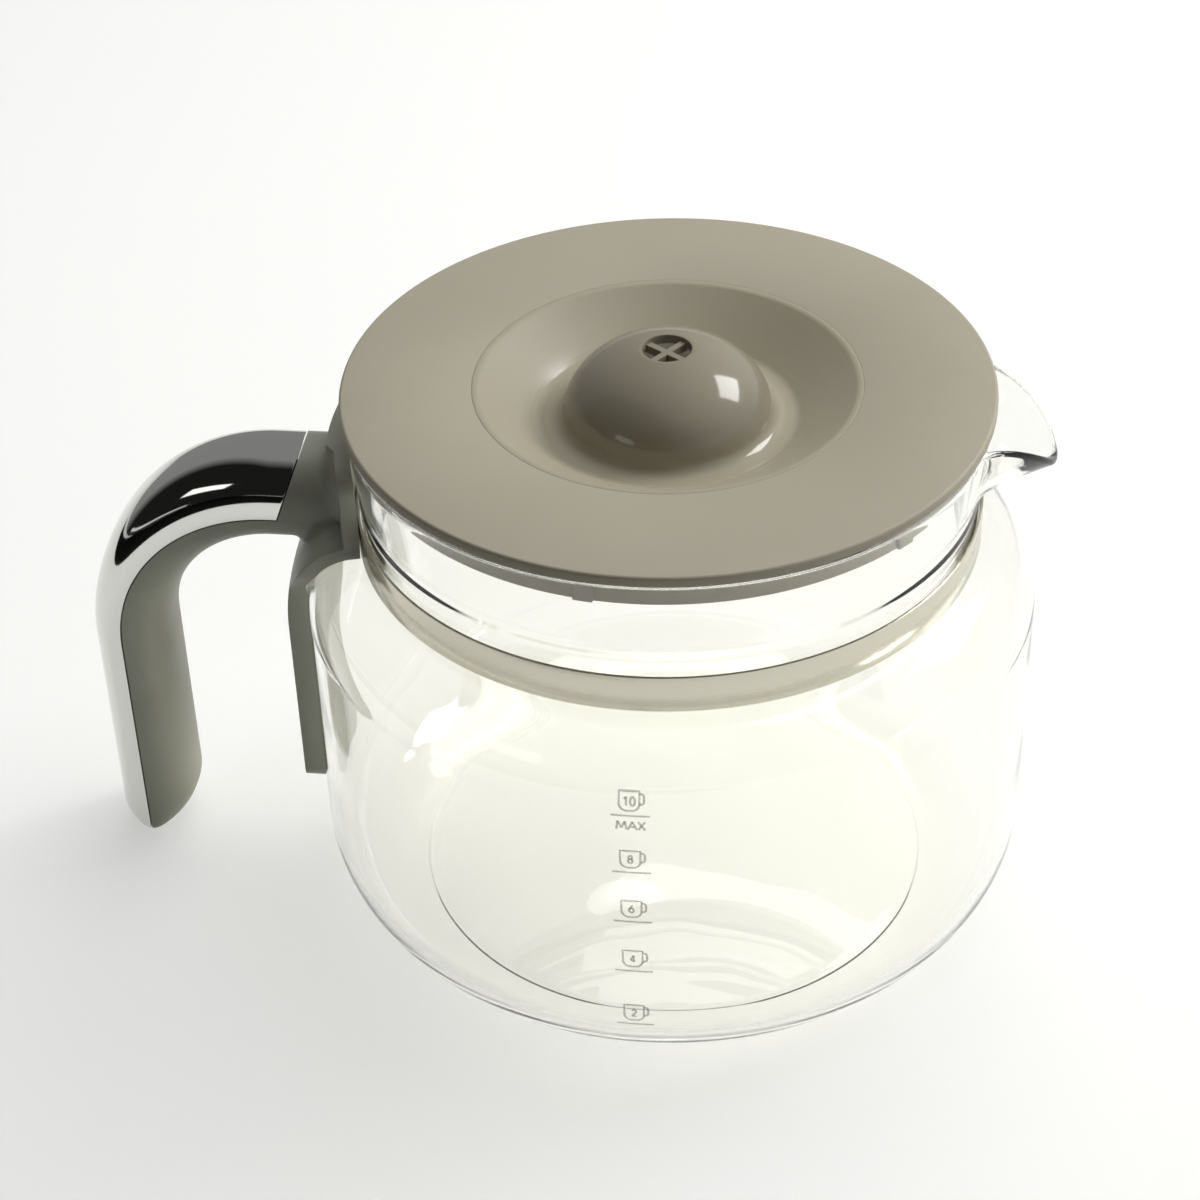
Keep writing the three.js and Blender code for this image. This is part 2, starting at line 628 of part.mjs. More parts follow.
function dripDome() {
  const innerRadius = DOME_RADIUS - DISH_WALL;
  const innerHeight = DOME_HEIGHT - DISH_WALL;
  let domeFoot = 0;
  let lean = 0;
  for (let i = 0; i < FILLET_ROUNDS; i += 1) {
    domeFoot = Math.asin((DOME_FILLET * (1 - Math.sin(lean))) / DOME_HEIGHT);
    lean = Math.atan2(DOME_RADIUS * Math.sin(domeFoot), DOME_HEIGHT * Math.cos(domeFoot));
  }
  const filletR = DOME_RADIUS * Math.cos(domeFoot) + DOME_FILLET * Math.cos(lean);
  const innerFoot = -Math.asin(DISH_WALL / innerHeight);
  const floorEdge = filletR + DISH_FLAT;
  const stepR = DISH_RADIUS - LEDGE_WIDTH - SEAT_GAP;
  const slope = DISH_DEPTH / (dishRimRadius - floorEdge);
  const stepBottom = dishFloor - DISH_WALL + slope * (stepR - floorEdge);
  const bowl = turned([
    [dishRimRadius, lidTop],
    [floorEdge, dishFloor],
    ...arc(filletR, dishFloor + DOME_FILLET, DOME_FILLET, DOME_FILLET, 1.5 * Math.PI,
      Math.PI + lean, SMALL_ARC_STEPS),
    ...arc(0, dishFloor, DOME_RADIUS, DOME_HEIGHT, domeFoot,
      Math.acos(VENT_RADIUS / DOME_RADIUS), ARC_STEPS).slice(1),
    ...arc(0, dishFloor, innerRadius, innerHeight, Math.acos(VENT_RADIUS / innerRadius),
      innerFoot, ARC_STEPS),
    [floorEdge, dishFloor - DISH_WALL],
    [stepR, stepBottom],
    [stepR, lidTop - DISH_RIM],
    [dishRimRadius, lidTop - DISH_RIM],
  ], DOME_FACETS);
  const ventTop = dishFloor + DOME_HEIGHT * Math.sqrt(1 - (VENT_RADIUS / DOME_RADIUS) ** 2);
  const barTop = ventTop - CROSS_RECESS;
  const barHalf = VENT_RADIUS + DISH_WALL / 4;
  let dome = solid(bowl);
  for (const turn of [CROSS_TURN, CROSS_TURN + Math.PI / 2]) {
    const crossBar = block(
      [-barHalf, -CROSS_BAR_WIDTH / 2, barTop - CROSS_BAR_DEPTH],
      [barHalf, CROSS_BAR_WIDTH / 2, barTop],
    );
    dome = dome.add(solid(crossBar.rotateZ(turn)));
  }
  return dome;
}

// Finishes
const CLEAR_GLASS = { color: 0xeef2e6, roughness: 0.03, metalness: 0, transparent: true, opacity: 0.3 };
const STAINLESS = { color: 0xb9b3a2, roughness: 0.18, metalness: 1 };
const ZINC_STEEL = { color: 0x9a9c9e, roughness: 0.35, metalness: 1 };
const GREY_PLASTIC = { color: 0x6f6e66, roughness: 0.45, metalness: 0 };
const CHROME = { color: 0xd8dadc, roughness: 0.06, metalness: 1 };
const GREIGE_SATIN = { color: 0xaaa391, roughness: 0.55, metalness: 0 };
const GREIGE_GLOSS = { color: 0xa39d8b, roughness: 0.15, metalness: 0 };

const jug = new THREE.Group();
jug.add(piece('glass_jug', glassJug(), CLEAR_GLASS));
jug.add(piece('neck_band', neckBand(), STAINLESS));
jug.add(piece('clamp_screw', clampScrew(), ZINC_STEEL));
jug.add(piece('clamp_nut', clampNut(), ZINC_STEEL));

// The handle's side view points along +X, so it is turned to face -X.
const handle = new THREE.Group();
handle.rotation.z = Math.PI;
handle.add(piece('handle_core', handleCore(), GREY_PLASTIC));
handle.add(piece('chrome_cover', chromeCover(), CHROME));
handle.add(piece('cover_screw', coverScrew(), ZINC_STEEL));

const lid = new THREE.Group();
lid.add(piece('lid_cap', lidCap(), GREIGE_SATIN));
lid.add(piece('drip_dome', dripDome(), GREIGE_GLOSS));

const carafe = new THREE.Group();
carafe.add(jug, handle, lid);

export default carafe;
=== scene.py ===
"""A glass coffee carafe with its lid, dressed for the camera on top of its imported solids."""
import bpy
import math
from mathutils import Matrix, Vector


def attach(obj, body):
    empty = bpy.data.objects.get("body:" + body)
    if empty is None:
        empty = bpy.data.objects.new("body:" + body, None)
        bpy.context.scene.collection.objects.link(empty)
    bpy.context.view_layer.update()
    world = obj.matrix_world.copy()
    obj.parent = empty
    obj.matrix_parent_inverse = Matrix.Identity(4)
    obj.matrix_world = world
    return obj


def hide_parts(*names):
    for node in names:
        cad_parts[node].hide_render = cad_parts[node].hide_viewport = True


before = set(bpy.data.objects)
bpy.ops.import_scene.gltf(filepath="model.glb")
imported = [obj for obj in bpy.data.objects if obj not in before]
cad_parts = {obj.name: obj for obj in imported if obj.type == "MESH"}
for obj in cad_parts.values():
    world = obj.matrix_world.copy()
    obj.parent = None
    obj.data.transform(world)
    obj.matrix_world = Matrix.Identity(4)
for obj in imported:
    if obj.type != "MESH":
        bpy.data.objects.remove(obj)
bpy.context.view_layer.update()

# Glass jug. Borosilicate glass blown in a mould: a flat base on a low foot ring, a round
# body, a drawn-in neck with a pressed bead, a fire-polished rim and a spout folded out
# while hot. It carries everything else. Sizes are in millimetres here and below.
MM = 0.001
GAP = 0.3
BODY_RADIUS = 77.55
HEEL_RADIUS = 22
NECK_RADIUS = 64.5
SHOULDER_FOOT = 75.6
SHOULDER_HEIGHT = 16
SHOULDER_REACH = 13.05
GLASS_WALL = 2.3
BASE_THICKNESS = 3
FOOT_RING = 55.8
FOOT_INNER_WIDTH = 3.2
FOOT_OUTER_WIDTH = 1.0
FOOT_LIFT = 0.35
BEAD_SIZE = 0.22
BEAD_HALF_HEIGHT = 1.3
BEAD_HEIGHT = 104.2
RIM_RADIUS = 66.5
RIM_HEIGHT = 122.6
SPOUT_HINGE = 105.1
SPOUT_TILT = math.radians(60.5)
SPOUT_HALF_ANGLE = math.radians(18)
SPOUT_BEND_SHARE = 0.45


def linear(hex_colour):
    """Linear colour of an sRGB hex value."""
    shares = [int(hex_colour[i:i + 2], 16) / 255 for i in (0, 2, 4)]
    return [s / 12.92 if s <= 0.04045 else ((s + 0.055) / 1.055) ** 2.4 for s in shares] + [1]


def add_node(material, kind, settings, links):
    """Adds a node with its settings, and links its inputs to other nodes' outputs."""
    node = material.node_tree.nodes.new(kind)
    for name, value in settings.items():
        if name in node.inputs:
            node.inputs[name].default_value = value
        else:
            setattr(node, name, value)
    for name, (source, output) in links.items():
        material.node_tree.links.new(source.outputs[output], node.inputs[name])
    return node


def link(material, source, output, target, socket):
    """Links an output of one node to an input of another."""
    material.node_tree.links.new(source.outputs[output], target.inputs[socket])


def new_material(name):
    """A new material with its shader."""
    material = bpy.data.materials.new(name)
    material.use_nodes = True
    return material, material.node_tree.nodes["Principled BSDF"]


def smooth_step(value, low, high):
    """Share of the way from low to high, eased at both ends."""
    share = min(max((value - low) / (high - low), 0), 1)
    return share * share * (3 - 2 * share)


def arc(centre_r, centre_z, reach_r, reach_z, start, end, steps):
    """Points of an elliptic arc in the (radius, height) plane, angles in degrees."""
    angles = [math.radians(start + (end - start) * i / steps) for i in range(steps + 1)]
    return [(centre_r + reach_r * math.cos(a), centre_z + reach_z * math.sin(a)) for a in angles]


def turned(name, outline, steps):
    """A piece spun about the jug's axis from a closed (radius, height) outline."""
    bpy.ops.object.select_all(action="DESELECT")
    bpy.ops.mesh.primitive_circle_add(vertices=len(outline))
    piece = bpy.context.object
    piece.name = name
    for vertex, (radius, height) in zip(piece.data.vertices, outline):
        vertex.co = (radius * MM, 0, height * MM)
    bpy.ops.object.mode_set(mode="EDIT")
    bpy.ops.mesh.select_all(action="SELECT")
    bpy.ops.mesh.spin(steps=steps, angle=2 * math.pi, center=(0, 0, 0), axis=(0, 0, 1))
    bpy.ops.mesh.select_all(action="SELECT")
    bpy.ops.mesh.remove_doubles(threshold=0.005 * MM)
    bpy.ops.mesh.delete_loose()
    bpy.ops.mesh.select_all(action="SELECT")
    bpy.ops.mesh.normals_make_consistent(inside=False)
    bpy.ops.object.mode_set(mode="OBJECT")
    return piece


heel_centre = BODY_RADIUS - HEEL_RADIUS
neck_inner = NECK_RADIUS - GLASS_WALL
lip = GLASS_WALL / 2
rise = [i / 8 for i in range(1, 9)]
bump_steps = [i / 8 for i in range(-8, 9)]
foot_ring = [(FOOT_RING + t * (FOOT_INNER_WIDTH if t < 0 else FOOT_OUTER_WIDTH),
              FOOT_LIFT * (1 - math.cos(math.pi * t)) / 2) for t in bump_steps]
heel = arc(heel_centre, HEEL_RADIUS, HEEL_RADIUS, HEEL_RADIUS - FOOT_LIFT, -90, 0, 32)
bead = [(NECK_RADIUS + BEAD_SIZE * (1 + math.cos(math.pi * t)) / 2,
         BEAD_HEIGHT + BEAD_HALF_HEIGHT * t) for t in bump_steps]
flare = [(NECK_RADIUS + (RIM_RADIUS - NECK_RADIUS) * t,
          SPOUT_HINGE + (RIM_HEIGHT - lip - SPOUT_HINGE) * t) for t in rise[:-1]]
jug_outline = [
    (0, FOOT_LIFT),
    *foot_ring,
    *[(r, z) for r, z in heel if r > foot_ring[-1][0]],
    *arc(NECK_RADIUS, SHOULDER_FOOT, SHOULDER_REACH, SHOULDER_HEIGHT, 0, 90, 28),
    *bead,
    *flare,
    *arc(RIM_RADIUS - lip, RIM_HEIGHT - lip, lip, lip, 0, 180, 12),
    *[(r - GLASS_WALL, z) for r, z in reversed(flare)],
    (neck_inner, SPOUT_HINGE),
    *arc(neck_inner, SHOULDER_FOOT, SHOULDER_REACH, SHOULDER_HEIGHT - GLASS_WALL, 90, 0, 28),
    *arc(heel_centre, HEEL_RADIUS, HEEL_RADIUS - GLASS_WALL, HEEL_RADIUS - BASE_THICKNESS,
         0, -90, 24),
    (0, BASE_THICKNESS),
]
jug = turned("jug_glass", jug_outline, 320)

spout_pivot = NECK_RADIUS - GLASS_WALL / 2
for vertex in jug.data.vertices:
    height = vertex.co.z / MM - SPOUT_HINGE
    angle = math.atan2(vertex.co.y, vertex.co.x)
    if height <= 0 or abs(angle) >= SPOUT_HALF_ANGLE:
        continue
    ramp = smooth_step(height / (RIM_HEIGHT - SPOUT_HINGE), 0, SPOUT_BEND_SHARE)
    lean = SPOUT_TILT * ramp * math.cos(math.pi / 2 * angle / SPOUT_HALF_ANGLE) ** 2
    out = math.hypot(vertex.co.x, vertex.co.y) / MM - spout_pivot
    radius = spout_pivot + out * math.cos(lean) + height * math.sin(lean)
    level = SPOUT_HINGE + height * math.cos(lean) - out * math.sin(lean)
    vertex.co = Vector((radius * math.cos(angle), radius * math.sin(angle), level)) * MM
bpy.ops.object.shade_smooth_by_angle(angle=math.radians(40))

# Clear borosilicate glass, mould-blown: a faint yellow-green cast where it is seen
# through its whole depth, and walls that wave a little, so that edges shimmer.
clear_glass, glass_shader = new_material("clear_borosilicate_glass")
glass_shader.inputs["Base Color"].default_value = linear("fcfcf9")
glass_shader.inputs["Roughness"].default_value = 0.0
glass_shader.inputs["IOR"].default_value = 1.47
glass_shader.inputs["Transmission Weight"].default_value = 1.0
glass_place = add_node(clear_glass, "ShaderNodeTexCoord", {}, {})
WAVE_SPACING = 26 * MM
glass_waves = add_node(clear_glass, "ShaderNodeTexNoise",
                       {"Scale": 1 / WAVE_SPACING, "Detail": 1.0},
                       {"Vector": (glass_place, "Object")})
glass_bump = add_node(clear_glass, "ShaderNodeBump", {"Strength": 0.25, "Distance": 0.4 * MM},
                      {"Height": (glass_waves, "Fac")})
link(clear_glass, glass_bump, "Normal", glass_shader, "Normal")
# Light that is led along inside the walls comes out again, so that their edges stay pale.
bpy.context.scene.cycles.max_bounces = 24
bpy.context.scene.cycles.glossy_bounces = 12
bpy.context.scene.cycles.transmission_bounces = 16
# Lamps shine through the walls, so that the inside and the floor are lit.
glass_path = add_node(clear_glass, "ShaderNodeLightPath", {}, {})
glass_clear = add_node(clear_glass, "ShaderNodeBsdfTransparent", {"Color": linear("f8f8f4")}, {})
glass_mix = add_node(clear_glass, "ShaderNodeMixShader", {},
                     {"Fac": (glass_path, "Is Shadow Ray")})
link(clear_glass, glass_shader, "BSDF", glass_mix, 1)
link(clear_glass, glass_clear, "BSDF", glass_mix, 2)
glass_output = clear_glass.node_tree.nodes["Material Output"]
link(clear_glass, glass_mix, "Shader", glass_output, "Surface")
jug.data.materials.append(clear_glass)
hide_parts("glass_jug")
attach(jug, "jug")

# Level marks. Grey ceramic ink printed on the outside of the glass and fired on: a small
# cup with its count over each level line, in twos, and MAX under the highest.
MARK_AZIMUTH = math.radians(-90.1)
MARK_LIFT = 0.03
INK_DEPTH = 0.02
STROKE = 0.48
LINE_LENGTH = 7.7
CUP_WIDTH = 4.0
CUP_HEIGHT = 4.4
CUP_CORNER = 1.6
CUP_SHIFT = -0.2
CUP_ABOVE_LINE = 1.25
EAR_REACH = 0.9
EAR_HEIGHT = 2.3
EAR_BELOW_TOP = 0.55
EAR_ROUNDNESS = 0.7
DIGIT_SIZE = (0.95, 1.9)
DIGIT_STEP = 1.35
WORD_HEIGHT = 2.1
WORD_BELOW_LINE = 2.5
WORD = (("M", -2.8, 2.0), ("A", -0.5, 1.75), ("X", 1.5, 1.35))
LEVELS = {"10": 75.7, "8": 60.9, "6": 47.6, "4": 33.9, "2": 18.5}


def wall_radius(height):
    """Outside radius of the jug's wall at a height."""
    if height < HEEL_RADIUS:
        return heel_centre + math.sqrt(HEEL_RADIUS ** 2 - (HEEL_RADIUS - height) ** 2)
    share = min(max(height - SHOULDER_FOOT, 0) / SHOULDER_HEIGHT, 1)
    return NECK_RADIUS + SHOULDER_REACH * math.sqrt(1 - share ** 2)


def stroked(points, closed):
    """A flat stroke of ink along points in the mark's own plane."""
    bpy.ops.object.select_all(action="DESELECT")
    bpy.ops.mesh.primitive_circle_add(vertices=len(points))
    stroke = bpy.context.object
    for vertex, (across, up) in zip(stroke.data.vertices, points):
        vertex.co = (across * MM, up * MM, 0)
    if not closed:
        bpy.ops.object.mode_set(mode="EDIT")
        bpy.ops.mesh.select_mode(type="EDGE")
        bpy.ops.mesh.select_all(action="DESELECT")
        bpy.ops.object.mode_set(mode="OBJECT")
        ends = {0, len(points) - 1}
        for edge in stroke.data.edges:
            edge.select = set(edge.vertices) == ends
        bpy.ops.object.mode_set(mode="EDIT")
        bpy.ops.mesh.delete(type="EDGE")
        bpy.ops.mesh.select_mode(type="VERT")
        bpy.ops.object.mode_set(mode="OBJECT")
    bpy.ops.object.convert(target="CURVE")
    stroke.data.bevel_depth = STROKE / 2 * MM
    stroke.data.bevel_resolution = 1
    stroke.data.use_fill_caps = True
    bpy.ops.object.convert(target="MESH")
    return stroke


def straight(*ends):
    """Two ends and the middle of a straight stroke."""
    (x, y), (far_x, far_y) = ends
    return [ends[0], ((x + far_x) / 2, (y + far_y) / 2), ends[1]]


# Strokes of each character in a box of unit width and height. Rounds close on themselves.
CHARACTERS = {
    "0": [arc(0.5, 0.5, 0.5, 0.5, 0, 345, 23)],
    "1": [straight((0.15, 0.76), (0.6, 1)), straight((0.6, 1), (0.6, 0))],
    "2": [arc(0.5, 0.7, 0.42, 0.3, 165, -30, 10), straight((0.86, 0.55), (0.05, 0)),
          straight((0, 0), (1, 0))],
    "4": [straight((0.72, 0), (0.72, 1)), straight((0.72, 1), (0, 0.26)),
          straight((0, 0.26), (1, 0.26))],
    "6": [arc(0.5, 0.3, 0.48, 0.3, 0, 345, 23), straight((0.66, 1), (0.1, 0.44))],
    "8": [arc(0.5, 0.76, 0.36, 0.24, 0, 345, 23), arc(0.5, 0.27, 0.46, 0.27, 0, 345, 23)],
    "M": [straight((0, 0), (0.14, 1)), straight((0.14, 1), (0.5, 0.2)),
          straight((0.5, 0.2), (0.86, 1)), straight((0.86, 1), (1, 0))],
    "A": [straight((0, 0), (0.5, 1)), straight((0.5, 1), (1, 0)),
          straight((0.2, 0.35), (0.8, 0.35))],
    "X": [straight((0, 0), (1, 1)), straight((0, 1), (1, 0))],
}


def lettered(character, left, bottom, width, height):
    """The strokes of one character in a box of the mark's own plane."""
    return [stroked([(left + width * x, bottom + height * y) for x, y in points], len(points) > 20)
            for points in CHARACTERS[character]]


cup_left, cup_right = CUP_SHIFT - CUP_WIDTH / 2, CUP_SHIFT + CUP_WIDTH / 2
cup_low, cup_high = CUP_ABOVE_LINE, CUP_ABOVE_LINE + CUP_HEIGHT
cup_bowl = [
    *[(cup_right - CUP_WIDTH * i / 4, cup_high) for i in range(5)],
    *arc(cup_left + CUP_CORNER, cup_low + CUP_CORNER, CUP_CORNER, CUP_CORNER, 180, 270, 6),
    *arc(cup_right - CUP_CORNER, cup_low + CUP_CORNER, CUP_CORNER, CUP_CORNER, 270, 360, 6),
]
ear_middle = cup_high - EAR_BELOW_TOP - EAR_HEIGHT / 2
ear_corner = EAR_REACH * EAR_ROUNDNESS
cup_ear = [
    (cup_right, ear_middle + EAR_HEIGHT / 2),
    *arc(cup_right + EAR_REACH - ear_corner, ear_middle + EAR_HEIGHT / 2 - ear_corner,
         ear_corner, ear_corner, 90, 0, 5),
    *arc(cup_right + EAR_REACH - ear_corner, ear_middle - EAR_HEIGHT / 2 + ear_corner,
         ear_corner, ear_corner, 0, -90, 5),
    (cup_right, ear_middle - EAR_HEIGHT / 2),
]
digit_low = (cup_low + cup_high - DIGIT_SIZE[1]) / 2
mark_strokes = []
for count, level in LEVELS.items():
    line = [(LINE_LENGTH * (i / 16 - 0.5), 0) for i in range(17)]
    strokes = [stroked(line, False), stroked(cup_bowl, True), stroked(cup_ear, False)]
    for i, digit in enumerate(count):
        left = CUP_SHIFT - DIGIT_SIZE[0] / 2 + DIGIT_STEP * (i - (len(count) - 1) / 2)
        strokes += lettered(digit, left, digit_low, *DIGIT_SIZE)
    if count == "10":
        word_low = -WORD_BELOW_LINE - WORD_HEIGHT / 2
        for letter, left, width in WORD:
            strokes += lettered(letter, left, word_low, width, WORD_HEIGHT)
    for stroke in strokes:
        for vertex in stroke.data.vertices:
            height = level + vertex.co.y / MM
            radius = wall_radius(height) + MARK_LIFT + (INK_DEPTH if vertex.co.z > 0 else 0)
            turn = MARK_AZIMUTH + vertex.co.x / MM / BODY_RADIUS
            vertex.co = Vector((radius * math.cos(turn), radius * math.sin(turn), height)) * MM
    mark_strokes += strokes
bpy.ops.object.select_all(action="DESELECT")
for stroke in mark_strokes:
    stroke.select_set(True)
marks = mark_strokes[0]
bpy.context.view_layer.objects.active = marks
bpy.ops.object.join()
marks.name = "level_marks"


def two_tones(material, share, tones):
    """A colour that runs with a share from the tone at one place to the tone at another."""
    ramp = add_node(material, "ShaderNodeValToRGB", {}, {"Fac": share})
    for element, (position, colour) in zip(ramp.color_ramp.elements, tones.items()):
        element.position = position
        element.color = linear(colour)
    return ramp


# Fired ceramic ink: matt grey, a little uneven where the screen laid it thinner, and thin
# enough that some of the light behind it shows through.
fired_ink, ink_shader = new_material("fired_grey_ink")
ink_shader.inputs["Roughness"].default_value = 0.6
ink_shader.inputs["Alpha"].default_value = 0.32
ink_place = add_node(fired_ink, "ShaderNodeTexCoord", {}, {})
INK_MOTTLE = 0.8 * MM
ink_mottle = add_node(fired_ink, "ShaderNodeTexNoise", {"Scale": 1 / INK_MOTTLE, "Detail": 2.0},
                      {"Vector": (ink_place, "Object")})
ink_tone = two_tones(fired_ink, (ink_mottle, "Fac"), {0.3: "b0afa2", 0.7: "bcbbae"})
link(fired_ink, ink_tone, "Color", ink_shader, "Base Color")
marks.data.materials.clear()
marks.data.materials.append(fired_ink)
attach(marks, "jug")

# Neck band. A strap of stainless strip, rolled round the neck under the bead, with its two
# ends bent out as ears that go into the handle, where a screw draws them together.
BAND_INNER = 64.8
BAND_THICKNESS = 0.6
BAND_BOTTOM = 91.9
BAND_HEIGHT = 8.2
EAR_NEAR = 1.0
EAR_END = 91.4
BAND_EDGE = 0.12


def rounded(piece, width, segments, corner):
    """Rounds the edges of a piece that turn by more than a corner's degrees."""
    edge = piece.modifiers.new("edge", "BEVEL")
    edge.width = width * MM
    edge.segments = segments
    edge.limit_method = "ANGLE"
    edge.angle_limit = math.radians(corner)
    bpy.ops.object.modifier_apply(modifier="edge")


bpy.ops.object.select_all(action="DESELECT")
bpy.ops.mesh.primitive_circle_add(vertices=360, radius=BAND_INNER * MM, location=(0, 0, 0))
band = bpy.context.object
band.name = "neck_strap"
bpy.ops.object.mode_set(mode="EDIT")
bpy.ops.mesh.select_all(action="DESELECT")
bpy.ops.object.mode_set(mode="OBJECT")
for vertex in band.data.vertices:
    vertex.select = vertex.co.x < 0 and abs(vertex.co.y) < EAR_NEAR * MM
bpy.ops.object.mode_set(mode="EDIT")
bpy.ops.mesh.delete(type="VERT")
bpy.ops.object.mode_set(mode="OBJECT")
behind = [v for v in band.data.vertices if v.co.x < 0]
for side in (1, -1):
    end = min((v for v in behind if v.co.y * side > 0), key=lambda v: abs(v.co.y))
    end.co.y = side * (EAR_NEAR + BAND_THICKNESS) * MM
    end.select = True
bpy.ops.object.mode_set(mode="EDIT")
ear_way = ((BAND_INNER - EAR_END) * MM, 0, 0)
bpy.ops.mesh.extrude_region_move(TRANSFORM_OT_translate={"value": ear_way})
bpy.ops.mesh.select_all(action="SELECT")
bpy.ops.transform.translate(value=(0, 0, BAND_BOTTOM * MM))
bpy.ops.mesh.extrude_region_move(TRANSFORM_OT_translate={"value": (0, 0, BAND_HEIGHT * MM)})
bpy.ops.mesh.select_all(action="SELECT")
bpy.ops.mesh.normals_make_consistent(inside=False)
bpy.ops.object.mode_set(mode="OBJECT")
front_face = max(band.data.polygons, key=lambda face: face.center.x)
if front_face.normal.x < 0:
    bpy.ops.object.mode_set(mode="EDIT")
    bpy.ops.mesh.flip_normals()
    bpy.ops.object.mode_set(mode="OBJECT")
strap_wall = band.modifiers.new("wall", "SOLIDIFY")
strap_wall.thickness = BAND_THICKNESS * MM
strap_wall.offset = 1
bpy.ops.object.modifier_apply(modifier="wall")
rounded(band, BAND_EDGE, 2, 50)
bpy.ops.object.shade_smooth_by_angle(angle=math.radians(35))

# Bright-rolled stainless strip: a warm grey mirror, softened along the rolling direction
# by fine lines that run round the neck.
bright_steel, steel_shader = new_material("bright_rolled_stainless")
steel_shader.inputs["Base Color"].default_value = linear("d0ccbc")
steel_shader.inputs["Metallic"].default_value = 1.0
steel_place = add_node(bright_steel, "ShaderNodeTexCoord", {}, {})
ROLL_LINE = 0.25 * MM
steel_stretch = add_node(bright_steel, "ShaderNodeMapping", {"Scale": (0.02, 0.02, 1.0)},
                         {"Vector": (steel_place, "Object")})
steel_lines = add_node(bright_steel, "ShaderNodeTexNoise", {"Scale": 1 / ROLL_LINE, "Detail": 2.0},
                       {"Vector": (steel_stretch, "Vector")})
steel_rough = add_node(bright_steel, "ShaderNodeMapRange", {"To Min": 0.12, "To Max": 0.24},
                       {"Value": (steel_lines, "Fac")})
steel_bump = add_node(bright_steel, "ShaderNodeBump", {"Strength": 0.04, "Distance": 0.02 * MM},
                      {"Height": (steel_lines, "Fac")})
link(bright_steel, steel_rough, "Result", steel_shader, "Roughness")
link(bright_steel, steel_bump, "Normal", steel_shader, "Normal")
band.data.materials.append(bright_steel)
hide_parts("neck_band")
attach(band, "jug")

# Clamp screw and nut. A zinc-plated machine screw and its hexagon nut, closed up under the
# bright cover, where they pull the strap's ears together. They keep their plain solids.
zinc_plate, zinc_shader = new_material("zinc_plated_steel")
zinc_shader.inputs["Metallic"].default_value = 1.0
zinc_place = add_node(zinc_plate, "ShaderNodeTexCoord", {}, {})
SPANGLE = 0.9 * MM
zinc_cells = add_node(zinc_plate, "ShaderNodeTexNoise", {"Scale": 1 / SPANGLE, "Detail": 3.0},
                      {"Vector": (zinc_place, "Object")})
zinc_tone = two_tones(zinc_plate, (zinc_cells, "Fac"), {0.35: "a9abad", 0.65: "c3c5c8"})
zinc_rough = add_node(zinc_plate, "ShaderNodeMapRange", {"To Min": 0.25, "To Max": 0.42},
                      {"Value": (zinc_cells, "Fac")})
link(zinc_plate, zinc_tone, "Color", zinc_shader, "Base Color")
link(zinc_plate, zinc_rough, "Result", zinc_shader, "Roughness")
for node_name in ("clamp_screw", "clamp_nut"):
    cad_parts[node_name].material_slots[0].material = zinc_plate

# Handle core. One moulding of grey ABS: a saddle on the neck with a heel strip down the
# jug's wall, a collar that grows out of it with a soft fillet, and the underside of the arm
# and the inner half of the grip as a hollow shell. The strap's ears hold it to the neck.
HALF_WIDTH = 11
ARM_PARTING = 93
BEND_RADIUS = 36
BEND_R = 84
BEND_Z = 57
GRIP_BOTTOM = 3
END_ROUND = 1.6
END_BLUNT = 0.5
END_LENGTH = {"cover": 6, "core": 10}
TAPER_TURN = math.radians(75)
ARM_DEPTH = {"cover": 13.3, "core": 7}
GRIP_DEPTH = {"cover": 8, "core": 9.5}
ROUNDNESS = {"cover": 2.4, "core": 2.5}
CORE_WALL = 2.4
JOINT_R = 81.9
JOINT_SLANT = math.tan(math.radians(20))
ROOT_FILLET = 3
ROOT_SINK = 0.4
FILLET_ROWS = 0.5
COLLAR_SINK = 0.3
COLLAR_INSET = {0: 0.002, 1: 0.02}
SADDLE_INNER = 65.7
SADDLE_THICKNESS = 3.2
SADDLE_HALF_WIDTH = 22
SADDLE_TOP = 112
SADDLE_CORNER = 4
SADDLE_BLEND_ACROSS = (9, 12)
SADDLE_BLEND_HEIGHT = (79.6, 85.6)
ARCH_FOOT = 72
ARCH_TOP = 87
ARCH_HALF_WIDTH = 20
STRIP_HALF_WIDTH = 10
STRIP_THICKNESS = 5.1
STRIP_LEAN = 12
STRIP_BOTTOM = 20.5
STRIP_CORNER = 3
PLASTIC_EDGE = 0.7
SCREW_R = 97.4
SCREW_BOSS = 5
SCREW_BOSS_LENGTH = 6.7
SCREW_HEAD_ROOM = 3.3
SCREW_HEAD_SEAT = 4.91
SCREW_SHANK_ROOM = 1.8
SCREW_SHANK_TOP = 4
HEAD_ROOM_SPARE = 6
SHANK_ROOM_SPARE = 1
EAR_SLOT = 2.1


